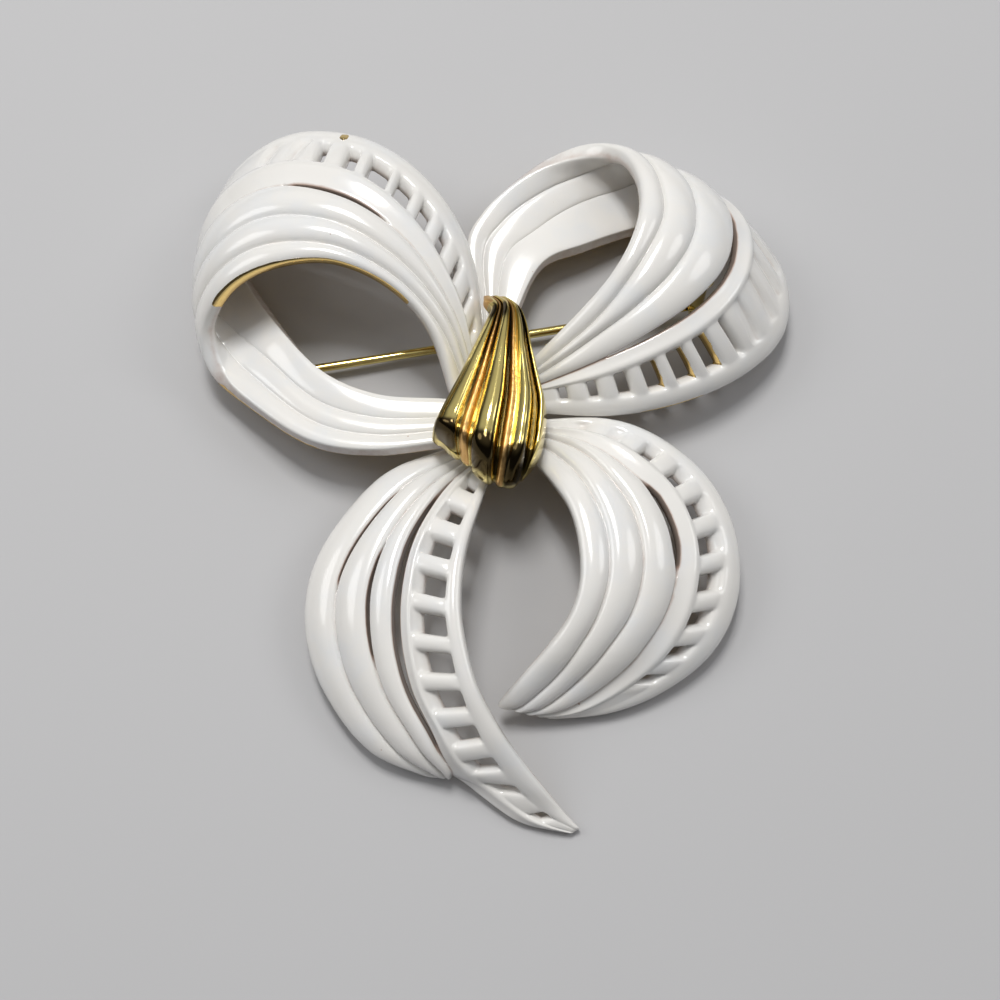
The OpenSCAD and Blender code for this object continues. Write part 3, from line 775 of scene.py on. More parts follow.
@dataclass
class Ribbon:
    """A ribbon of the bow: three ribs, grooves between them, and a ladder of windows along its far edge.

    Its table has a row for each section: near edge x, y, z and far edge x, y, z in shares of the
    reach, rise and lift, the three grooves, the windows' near and far sides in shares of the width,
    the crown in shares of the highest, and the gauge. Lengths are in millimetres. The ladder turns
    into a plain strand over the rows in plain, the ribs end at the row in ribs_stop, and tuck says
    how many rows the ribbon runs on at its two ends.
    """

    name: str
    sizes: tuple[float, float, float]
    side: Side
    rows: tuple[tuple[float, ...], ...]
    ladder: Ladder
    slits: tuple[Slit, ...]
    plain: tuple[float, float] = (100.0, 101.0)
    ribs_stop: float = 100.0
    tuck: tuple[float, float] = (0.25, 0.2)
    # Thicknesses, widths and the highest crown
    rib_t: float = 2.0
    groove_t: float = 0.8
    groove_w: float = 0.12
    rail_t: float = 1.8
    rung_t: float = 1.55
    slit_w: float = 0.8
    crown_h: float = 2.0
    # The largest share of the width that a groove takes, and how much of the plain strand's back is filled
    gap_limit: float = 0.05
    back_fill: float = 0.5
    groove_crease: float = 0.6
    # The relief of the ladder: rims, rungs, dimples and slats, and how much of these reaches the rails
    lip: float = 0.16
    rim_round: float = 0.35
    rung_rise: float = 0.10
    dimple_depth: float = 0.5
    slat_step: float = 0.5
    slat_sag: float = 1.2
    edge_sink: tuple[float, float] = (0.3, 0.5)
    # How the stations are spread: where the ladder is measured, and lengths in millimetres or half windows
    ladder_share: float = 0.75
    lead_in: float = 1.0
    dimple_size: float = 0.75
    taper_limit: float = 0.4
    station_mm: float = 0.6
    # Bare metal: where enamel ends, where a face is turned over, its rims, laps, ends of windows and chips
    bare: tuple[BareEdge, ...] = ()
    chips: tuple[Chip, ...] = ()
    turned_over: tuple[float, float] = (-1.0, -0.3)
    rim_bareness: float = 0.25
    lap: float = 0.10
    bare_end: tuple[float, float] = (0.5, 1.0)
    chip_rim: tuple[float, float] = (0.5, 1.1)
    # Grime and painted shade: in the three grooves, on rims, on slats and in slits; painted shade and tarnish
    # underneath, and painted shade in dimples
    groove_grime_and_shade: tuple[float, float, float] = (0.5, 0.5, 0.7)
    under_tarnish_and_shade: float = 0.55
    under_turned: tuple[float, float] = (-0.8, 0.1)
    rim_grime_and_shade: float = 0.5
    dimple_shade: float = 0.30
    slat_shade_and_grime: float = 0.32
    slit_grime_and_shade: float = 1.2
    slit_fade: float = 3.0

    def __post_init__(self) -> None:
        """Turns the table into an array."""
        self.table = np.array(self.rows)
        self.end = len(self.rows) - 1

    def section(self, u: float) -> Section:
        """Cuts the ribbon across at a place.

        Args:
            u: The place, counted in rows.

        Returns:
            The section.
        """
        row, ahead, behind = (row_at(self.table, x) for x in (u, u + HEADING_STEP, u - HEADING_STEP))
        sizes, heading = np.array(self.sizes), ahead - behind
        return Section(KNOT_AT + sizes * row[NEAR], KNOT_AT + sizes * row[FAR], sizes * heading[NEAR],
                       sizes * heading[FAR], row)

    def arch(self, cut: Section) -> np.ndarray:
        """Returns how far, and which way, a section's middle rises over its edges."""
        up = unit(np.cross((cut.near_heading + cut.far_heading) / 2, cut.across))
        return up * self.side.value * self.crown_h * cut.row[CROWN]

    def middle(self, cut: Section, v: float) -> np.ndarray:
        """Returns the point of the middle surface at share v of a section."""
        return cut.near + cut.across * v + self.arch(cut) * 4 * v * (1 - v)

    def facing(self, cut: Section, v: float) -> np.ndarray:
        """Returns the direction that faces out at share v of a section."""
        across = cut.across + self.arch(cut) * 4 * (1 - 2 * v)
        return unit(np.cross(cut.heading(v), across)) * self.side.value

    def gape(self, groove: int, u: float) -> float:
        """Returns how far a groove gapes at u, from 0 to 1."""
        shares = [math.sin(math.pi * (u - s.begins) / (s.ends - s.begins))
                  for s in self.slits if s.groove == groove and s.begins < u < s.ends]
        return max([0.0, *shares])

    def gap(self, groove: int, u: float) -> float:
        """Returns a groove's width at u, in millimetres."""
        widths = [s.width * self.slit_w for s in self.slits if s.groove == groove]
        return self.groove_w + (max(widths) - self.groove_w if widths else 0) * self.gape(groove, u)

    def columns(self, cut: Section, u: float) -> tuple[np.ndarray, np.ndarray]:
        """Lays the columns of the grid across a section: ribs, grooves, rails and window.

        Args:
            cut: The section.
            u: Where it is.

        Returns:
            Each column's share of the width, and its thickness in millimetres.
        """
        row = cut.row
        grooves = row[GROOVES]
        half = [min(self.gap(g, u) / cut.width, self.gap_limit) / 2 for g in range(RIBS)]
        shares, casts = [], []
        for g in range(RIBS):
            low = grooves[g - 1] + half[g - 1] if g else 0.0
            high = grooves[g] - half[g]
            shares += [(low + high) / 2 + (high - low) / 2 * x for x, _ in RIB_PROFILE]
            casts += [self.groove_t + (self.rib_t - self.groove_t) * h for _, h in RIB_PROFILE]
        for low, high, profile in ((grooves[-1] + half[-1], row[RAIL], INNER_RAIL_PROFILE),
                                   (row[OUTER_RAIL], 1.0, OUTER_RAIL_PROFILE)):
            shares += [(low + high) / 2 + (high - low) / 2 * x for x, _ in profile]
            casts += [self.groove_t + (self.rail_t - self.groove_t) * h for _, h in profile]
            if profile is INNER_RAIL_PROFILE:
                casts[-1] = self.rung_t
                shares += [high + (row[OUTER_RAIL] - high) * x for x in WINDOW_COLUMNS]
                casts += [self.rung_t] * len(WINDOW_COLUMNS)
            else:
                casts[-len(profile)] = self.rung_t
        shares, casts = np.array(shares), np.array(casts)
        across = (shares - grooves[1]) / (1 - grooves[1]) * 2 - 1
        plain_t = self.groove_t + (self.rib_t - self.groove_t) * np.sqrt(np.maximum(0, 1 - across ** 2))
        passed = smooth(*self.plain, u)
        last_rib = LADDER_GROOVE * len(RIB_PROFILE)
        casts[last_rib:] += (plain_t - casts)[last_rib:] * passed
        return shares, (casts + np.maximum(0, self.rib_t - casts) * self.back_fill * passed) * row[GAUGE]

    @property
    def gap_columns(self) -> list[int]:
        """The columns where the grooves' cells begin."""
        return [(g + 1) * len(RIB_PROFILE) - 1 for g in range(RIBS)]

    @property
    def window_columns(self) -> range:
        """The columns where the windows' cells begin."""
        start = RIBS * len(RIB_PROFILE) + len(INNER_RAIL_PROFILE) - 1
        return range(start, start + len(WINDOW_COLUMNS) + 1)

    @property
    def window_points(self) -> slice:
        """The columns of points from a window's near side to its far side."""
        return slice(self.window_columns[0], self.window_columns[-1] + 2)

    def stations(self) -> Stations:
        """Spreads the sections along the ribbon, so that each hole, rung, dimple and slat has its own.

        Returns:
            Where the sections lie and what the ladder does at each.
        """
        steps = np.linspace(0, self.end, self.end * RUN_STEPS + 1)
        line = np.array([self.middle(self.section(u), self.ladder_share) for u in steps])
        run = np.concatenate([[0], np.cumsum(np.linalg.norm(np.diff(line, axis=0), axis=1))])
        length, ladder = run[-1], self.ladder
        half = ladder.pitch * ladder.window_share / 2
        start = ladder.pitch * ladder.first
        marks = [Mark(0.0), Mark(start - half - self.lead_in)]
        for k, share in enumerate(ladder.opening):
            middle, h = start + ladder.pitch * k, half * (share or self.dimple_size)
            if share:
                taper, bare = min(ladder.taper, self.taper_limit * h), k in ladder.bare_ends
                lean = np.interp(k, (0, len(ladder.opening) - 1), ladder.lean)
                marks += [Mark(middle - h - self.rim_round),
                          Mark(middle - h, hole=True, rim=True, taper=taper, lean=lean),
                          Mark(middle - h / 2, hole=True, rim=True, lean=lean),
                          Mark(middle + h / 2, hole=True, rim=True, lean=lean),
                          Mark(middle + h, rim=True, taper=-taper, lean=lean, bare=bare),
                          Mark(middle + h + self.rim_round)]
            else:
                marks += [Mark(middle + h * x, dimple=d) for x, d in DIMPLE_SPREAD]
            marks.append(Mark(middle + ladder.pitch / 2, crest=share > 0))
        for k in range(len(ladder.opening), len(ladder.opening) + ladder.slats):
            marks += [Mark(start + ladder.pitch * (k + x), slat=d) for x, d in SLAT_SPREAD]
        last = marks[-1].where
        count = max(2, int((length - last) / self.station_mm))
        marks += [Mark(last + (length - last) * (k + 1) / count) for k in range(count)]
        marks = [m for m in marks if 0 <= round(m.where, 6) <= round(length, 6)]
        us = np.interp([m.where for m in marks], run, steps)
        if self.tuck[1]:
            us, marks = np.append(us, self.end + self.tuck[1]), [*marks, marks[-1]]
        return Stations(np.insert(us, 0, -self.tuck[0]), [marks[0], *marks])

    def sheet(self) -> Sheet:
        """Lays the ribbon's grid, with its slits and windows left open.

        Returns:
            The sheet, with its painted masks.
        """
        places = self.stations()
        us, marks = places.us, places.marks
        cuts = [self.section(u) for u in us]
        across = [self.columns(cut, u) for cut, u in zip(cuts, us)]
        n, c = len(us), len(across[0][0])
        front, back, up = np.zeros((n, c, 3)), np.zeros((n, c, 3)), np.zeros((n, c))
        shares = np.array([a[0] for a in across])
        windows = self.window_columns
        for i, (cut, mark) in enumerate(zip(cuts, marks)):
            for j, (v, t) in enumerate(zip(*across[i])):
                out = self.facing(cut, v)
                point = self.middle(cut, v)
                up[i, j] = out[2]
                front[i, j] = point + out * t / 2
                back[i, j] = point - out * t / 2
                if windows[0] <= j <= windows[-1] + 1:
                    inner = (j - windows[0]) / len(windows)
                    self.pierce(cut, v, inner, mark, out, front[i, j], back[i, j])
        metal = np.ones((n - 1, c - 1), bool)
        for i in range(n - 1):
            u = (us[i] + us[i + 1]) / 2
            if marks[i].hole:
                metal[i, list(windows)] = False
            for g, column in enumerate(self.gap_columns):
                if self.gape(g, u) > 0:
                    metal[i, column] = False
            if u > self.ribs_stop:
                metal[i, : self.gap_columns[LADDER_GROOVE] + 1] = False
        creases = {column + k: self.groove_crease for column in self.gap_columns for k in (0, 1)}
        return Sheet(self.name, front, back, metal, self.side is Side.LEFT_HANDED,
                     {Mask.GOLD: self.bareness(up, us, shares, metal, marks),
                      Mask.GRIME: self.grime_and_painted_light(up, us, metal, marks)}, creases)

    def pierce(self, cut: Section, v: float, inner: float, mark: Mark, out: np.ndarray, front: np.ndarray,
               back: np.ndarray) -> None:
        """Shapes one point of the ladder: holes, rounded rungs, dimples and slats.

        Args:
            cut: The section.
            v: The point's share of the width.
            inner: Its place across the window, from 0 at the near side to 1 at the far side.
            mark: What the ladder does at the station.
            out: The direction that faces out.
            front: The front point, which is moved.
            back: The back point, which is moved.
        """
        along, side = unit(cut.heading(v)), unit(cut.across)
        between = 0.0 < inner < 1.0
        dimple_share, slat_share = (1.0, 1.0) if between else self.edge_sink
        front -= out * self.dimple_depth * mark.dimple * dimple_share
        front -= out * self.slat_step * mark.slat * slat_share
        front -= along * self.slat_sag * inner ** 2 * (mark.slat > 0)
        front += out * self.rung_rise * mark.crest * between
        if mark.rim:
            front -= out * self.lip
            width = (cut.row[OUTER_RAIL] - cut.row[RAIL]) * cut.width
            near, far = self.ladder.walls
            back += along * (mark.taper + mark.lean) + side * width * (near * (1 - inner) - far * inner)

    @staticmethod
    def rims(metal: np.ndarray) -> np.ndarray:
        """Finds the grid points on an edge of the metal.

        Args:
            metal: Which cells are metal.

        Returns:
            True on the edges of the sheet, of its slits and of its windows.
        """
        cells = np.pad(metal, 1)
        return ~(cells[1:, 1:] & cells[:-1, 1:] & cells[1:, :-1] & cells[:-1, :-1])

    def bareness(self, up: np.ndarray, us: np.ndarray, shares: np.ndarray, metal: np.ndarray,
                 marks: list[Mark]) -> tuple[np.ndarray, np.ndarray]:
        """Works out how bare of enamel the two faces are: it lies on what can be seen from above.

        Args:
            up: How far each point's front looks up, from -1 to 1.
            us: Each station's place.
            shares: Each point's share of the width.
            metal: Which cells are metal.
            marks: What the ladder does at each station.

        Returns:
            For the front and the back, from 0 for enamel to 1 for metal.
        """
        front, back = (1 - smooth(*self.turned_over, way) for way in (up, -up))
        rims = self.rims(metal)
        lapped = rims | (shares < self.lap) | (shares > 1 - self.lap)
        front[rims] = np.minimum(front[rims], self.rim_bareness)
        back[lapped] = np.minimum(back[lapped], self.rim_bareness)
        for i, mark in enumerate(marks):
            if mark.bare:
                front[i, self.window_points], back[i, self.window_points] = self.bare_end
        for edge in self.bare:
            along = smooth(edge.begins, edge.begins + edge.fade, us)
            along = along * (1 - smooth(edge.ends - edge.fade, edge.ends, us))
            level = along[:, None] * edge.over(shares) * edge.strength
            front = np.maximum(front, level)
            if edge.both:
                back = np.maximum(back, level)
        for chip in self.chips:
            away = np.hypot((us[:, None] - chip.row) / chip.reach[0], (shares - chip.share) / chip.reach[1])
            front = np.maximum(front, 1 - smooth(*self.chip_rim, away))
        return front, back

    def grime_and_painted_light(self, up: np.ndarray, us: np.ndarray, metal: np.ndarray,
              marks: list[Mark]) -> tuple[np.ndarray, np.ndarray]:
        """Works out the grime and painted shade on the two faces: in the grooves, down the walls, and on the
        underside.

        Args:
            up: How far each point's front looks up, from -1 to 1.
            us: Each station's place.
            metal: Which cells are metal.
            marks: What the ladder does at each station.

        Returns:
            The front's values and the back's.
        """
        # Faces that look down darken: painted shade and tarnish
        front, back = (self.under_tarnish_and_shade * (1 - smooth(*self.under_turned, way)) for way in (up, -up))
        # The grooves darken: grime and painted shade
        for g, (strength, column) in enumerate(zip(self.groove_grime_and_shade, self.gap_columns)):
            line = np.full(len(us), strength)
            if g == LADDER_GROOVE:
                line = line * (1 - smooth(*self.plain, us))
            # The slits darken inside: grime and painted shade
            line = np.maximum(line, [self.slit_grime_and_shade * min(1, self.slit_fade * self.gape(g, u)) for u in us])
            for face in (front, back):
                face[:, column:column + 2] = np.maximum(face[:, column:column + 2], line[:, None])
        # Painted shade in the dimples, and painted shadow lines with grime on the slats
        for i, mark in enumerate(marks):
            front[i, self.window_points] += (self.dimple_shade * mark.dimple
                                             + self.slat_shade_and_grime * (mark.slat == 1))
        # The back's rims darken down the walls of holes and slits: grime and painted shade
        rims = self.rims(metal)
        back[rims] = np.maximum(back[rims], self.rim_grime_and_shade)
        return front, back

    def build(self, finish: bpy.types.Material) -> bpy.types.Object:
        """Builds the ribbon and dresses it.

        Args:
            finish: Its material.

        Returns:
            The piece.
        """
        made = self.sheet().build()
        made.data.materials.append(finish)
        return made


# The ribbons' tables, from the root at the knot on. The columns are those that Ribbon gives.
LEFT_LOOP_ROWS = (
    (-0.11, -0.02, 0.50, -0.03,  0.23, 0.48, 0.25, 0.40, 0.50, 0.56, 0.74, 0.15, 0.75),
    (-0.19,  0.19, 0.77, -0.07,  0.50, 0.62, 0.11, 0.23, 0.35, 0.49, 0.71, 0.40, 0.90),
    (-0.32,  0.32, 0.92, -0.19,  0.73, 0.68, 0.08, 0.20, 0.36, 0.54, 0.76, 0.65, 1.00),
    (-0.50,  0.39, 1.00, -0.39,  0.90, 0.68, 0.09, 0.23, 0.41, 0.61, 0.82, 0.90, 1.00),
    (-0.69,  0.38, 0.96, -0.64,  0.96, 0.58, 0.12, 0.28, 0.48, 0.67, 0.86, 1.00, 1.00),
    (-0.83,  0.33, 0.81, -0.83,  0.89, 0.36, 0.13, 0.29, 0.50, 0.69, 0.88, 1.00, 1.00),
    (-0.91,  0.24, 0.56, -0.92,  0.74, 0.12, 0.16, 0.34, 0.54, 0.70, 0.89, 0.70, 1.00),
    (-0.88,  0.12, 0.38, -0.85,  0.57, 0.09, 0.23, 0.46, 0.62, 0.76, 0.88, 0.35, 1.00),
    (-0.76,  0.00, 0.40, -0.70,  0.31, 0.37, 0.28, 0.58, 0.70, 0.80, 0.90, 0.20, 1.00),
    (-0.57, -0.13, 0.45, -0.54,  0.12, 0.45, 0.28, 0.59, 0.70, 0.80, 0.90, 0.15, 0.95),
    (-0.37, -0.17, 0.50, -0.36,  0.03, 0.48, 0.28, 0.60, 0.70, 0.80, 0.90, 0.10, 0.85),
    (-0.14, -0.15, 0.54, -0.14,  0.01, 0.50, 0.28, 0.58, 0.70, 0.80, 0.90, 0.10, 0.75),
)
RIGHT_LOOP_ROWS = (
    (0.12,  0.13, 0.48,  0.14, -0.02, 0.42, 0.22, 0.34, 0.50, 0.60, 0.76, 0.15, 0.75),
    (0.29,  0.27, 0.78,  0.39, -0.02, 0.39, 0.17, 0.28, 0.48, 0.63, 0.82, 0.40, 0.90),
    (0.39,  0.38, 0.90,  0.61,  0.03, 0.36, 0.12, 0.27, 0.48, 0.63, 0.86, 0.65, 1.00),
    (0.45,  0.49, 0.96,  0.81,  0.13, 0.31, 0.11, 0.28, 0.50, 0.64, 0.88, 0.90, 1.00),
    (0.48,  0.61, 0.96,  0.95,  0.27, 0.25, 0.12, 0.29, 0.52, 0.64, 0.88, 1.10, 1.00),
    (0.47,  0.74, 0.88,  0.99,  0.44, 0.18, 0.11, 0.29, 0.53, 0.65, 0.88, 1.20, 1.00),
    (0.42,  0.85, 0.74,  0.95,  0.60, 0.09, 0.12, 0.30, 0.54, 0.66, 0.88, 1.00, 1.00),
    (0.32,  0.90, 0.61,  0.84,  0.73, 0.05, 0.16, 0.40, 0.60, 0.72, 0.88, 0.65, 1.00),
    (0.19,  0.88, 0.51,  0.68,  0.76, 0.09, 0.21, 0.49, 0.66, 0.78, 0.90, 0.35, 1.00),
    (0.07,  0.81, 0.44,  0.49,  0.68, 0.23, 0.21, 0.49, 0.66, 0.78, 0.90, 0.20, 1.00),
    (-0.03,  0.71, 0.38,  0.32,  0.60, 0.31, 0.21, 0.52, 0.68, 0.78, 0.90, 0.15, 0.95),
    (-0.08,  0.59, 0.34,  0.17,  0.52, 0.34, 0.24, 0.54, 0.70, 0.80, 0.90, 0.10, 0.85),
    (-0.04,  0.34, 0.32,  0.07,  0.30, 0.33, 0.27, 0.52, 0.70, 0.80, 0.90, 0.10, 0.75),
)
LEFT_TAIL_ROWS = (
    (-0.24, -0.11, 0.50,  0.00, -0.19, 0.66, 0.34, 0.50, 0.60, 0.74, 0.88, 0.15, 0.75),
    (-0.54, -0.17, 0.49, -0.06, -0.29, 0.86, 0.29, 0.48, 0.61, 0.73, 0.90, 0.25, 0.90),
    (-0.77, -0.29, 0.44, -0.12, -0.40, 0.97, 0.25, 0.45, 0.61, 0.71, 0.91, 0.40, 1.00),
    (-0.90, -0.41, 0.38, -0.14, -0.52, 1.00, 0.22, 0.44, 0.62, 0.72, 0.91, 0.50, 1.00),
    (-0.92, -0.54, 0.31, -0.11, -0.62, 0.96, 0.22, 0.44, 0.61, 0.71, 0.91, 0.50, 1.00),
    (-0.83, -0.67, 0.24, -0.05, -0.71, 0.87, 0.22, 0.43, 0.59, 0.69, 0.90, 0.45, 1.00),
    (-0.62, -0.80, 0.18,  0.05, -0.79, 0.71, 0.21, 0.40, 0.54, 0.65, 0.86, 0.35, 0.95),
    (-0.37, -0.85, 0.15,  0.15, -0.85, 0.55, 0.14, 0.26, 0.36, 0.54, 0.80, 0.25, 0.85),
    (-0.19, -0.87, 0.13,  0.26, -0.91, 0.38, 0.03, 0.06, 0.09, 0.45, 0.74, 0.15, 0.75),
    (0.10, -0.97, 0.09,  0.35, -0.95, 0.20, 0.03, 0.06, 0.09, 0.43, 0.71, 0.10, 0.65),
    (0.40, -1.00, 0.06,  0.44, -0.99, 0.08, 0.03, 0.06, 0.09, 0.42, 0.70, 0.05, 0.50),
)
RIGHT_TAIL_ROWS = (
    (0.13, -0.16, 0.62,  0.16, -0.05, 0.52, 0.36, 0.54, 0.64, 0.74, 0.86, 0.10, 0.75),
    (0.23, -0.30, 0.87,  0.43, -0.04, 0.50, 0.26, 0.46, 0.58, 0.72, 0.87, 0.25, 0.90),
    (0.29, -0.40, 0.98,  0.63, -0.10, 0.49, 0.20, 0.39, 0.54, 0.70, 0.86, 0.45, 1.00),
    (0.32, -0.52, 1.02,  0.81, -0.23, 0.44, 0.18, 0.38, 0.57, 0.71, 0.87, 0.60, 1.00),
    (0.32, -0.64, 1.00,  0.91, -0.41, 0.38, 0.16, 0.36, 0.57, 0.71, 0.87, 0.65, 1.00),
    (0.28, -0.74, 0.91,  0.92, -0.60, 0.31, 0.15, 0.34, 0.55, 0.70, 0.85, 0.60, 1.00),
    (0.20, -0.83, 0.76,  0.85, -0.76, 0.24, 0.16, 0.32, 0.53, 0.70, 0.83, 0.50, 0.95),
    (0.12, -0.90, 0.58,  0.71, -0.88, 0.17, 0.18, 0.33, 0.53, 0.69, 0.81, 0.35, 0.85),
    (0.05, -0.96, 0.40,  0.50, -0.97, 0.13, 0.19, 0.36, 0.55, 0.70, 0.80, 0.20, 0.75),
    (0.03, -0.98, 0.33,  0.22, -1.00, 0.14, 0.24, 0.44, 0.62, 0.75, 0.85, 0.10, 0.60),
)


def bow_ribbons() -> list[Ribbon]:
    """Returns the bow's ribbons: left loop, right loop, left tail and right tail."""
    return [
        Ribbon("left_loop_ribbon", (31.0, 31.0, 13.0), Side.LEFT_HANDED, LEFT_LOOP_ROWS,
               Ladder(1.025, 3.15, (0, 0.35, 0.45, 0.65, 0.85, 1.05, 1.3, 0.7, 0.5), slats=2, taper=0.2,
                      walls=(0.0, 0.2), lean=(0.2, -0.1)),
               (Slit(2, 2.4, 3.9, 0.44),), plain=(5.6, 7.2),
               bare=(BareEdge(1.4, 5.6, 0.0, 0.014), BareEdge(6.9, 9.4, 0.0, 0.02, 0.62, both=False)),
               chips=(Chip(3.35, 0.91, (0.10, 0.05)), Chip(6.95, 0.80, (0.10, 0.03))),
               groove_grime_and_shade=(0.15, 0.15, 0.4), groove_crease=0.3),
        Ribbon("right_loop_ribbon", (31.0, 31.0, 13.0), Side.LEFT_HANDED, RIGHT_LOOP_ROWS,
               Ladder(1.05, 3.0, (0.5, 0.55, 0.75, 0.9, 1.05, 0.9, 0.3), slats=4, taper=0.2,
                      walls=(0.15, 0.1), lean=(0.15, -0.4), bare_ends=(3, 4, 5)),
               (Slit(2, 1.2, 5.6, 1.0),), plain=(5.8, 7.4), bare=(BareEdge(1.1, 2.6, 1.0, 0.985, 0.75),),
               groove_grime_and_shade=(0.15, 0.15, 0.9), groove_crease=0.3),
        Ribbon("left_tail_ribbon", (19.0, 41.0, 9.0), Side.RIGHT_HANDED, LEFT_TAIL_ROWS,
               Ladder(0.64, 3.75, (0.55, 0.75, 0.85, 0.95, 1.0, 1.0, 0.95, 0.85, 0.75, 0.6, 0.45), taper=0.2,
                      walls=(0.42, 0.1), lean=(0.35, -0.4)),
               (Slit(0, 1.2, 3.2, 0.31), Slit(1, 2.2, 4.6, 0.5), Slit(2, 0.6, 6.7, 1.05)), ribs_stop=7.8,
               groove_grime_and_shade=(0.3, 0.4, 0.5), tuck=(0.3, 0.0)),
        Ribbon("right_tail_ribbon", (26.0, 30.0, 9.0), Side.RIGHT_HANDED, RIGHT_TAIL_ROWS,
               Ladder(1.35, 3.55, (0, 0, 0.7, 0.75, 0.85, 0.95, 0.95, 0.8, 0.7, 0.6), taper=0.4,
                      walls=(0.05, 0.42)),
               (Slit(2, 2.5, 4.5, 1.5),), groove_grime_and_shade=(0.3, 0.4, 0.5), tuck=(0.3, 0.0)),
    ]


# The knot


@dataclass(frozen=True)
class DarkLine:
    """A painted dark mark on the knot: painted shade as a thin line in a groove, or a painted dark reflection
    as a broad patch on a flute.

    It lies at a share of the width, with a half width in the same shares. Its strength goes from
    one number at the knot's top to another at its foot, between the rows where it begins and ends.
    """

    share: float
    half_width: float
    top: float
    foot: float
    begins: float = -1.0
    ends: float = 9.0
    core: float = 0.3
    rise: float = 0.5
    fall: float = 0.9

    def over(self, u: float, last: int, shares: np.ndarray) -> np.ndarray:
        """Works out the dirt across one section.

        Args:
            u: Where the section is, counted in rows.
            last: The knot's last row.
            shares: The shares of the width.

        Returns:
            The dirt at each share.
        """
        strength = self.top + (self.foot - self.top) * u / last
        near = 1 - smooth(self.core * self.half_width, self.half_width, np.abs(shares - self.share))
        begun = smooth(self.begins, self.begins + self.rise, u)
        ended = smooth(self.ends - self.fall, self.ends, u)
        return strength * near * begun * (1 - ended)


# The factor that makes v * v * (1 - v) peak at 1
BOW_FACTOR = 6.75


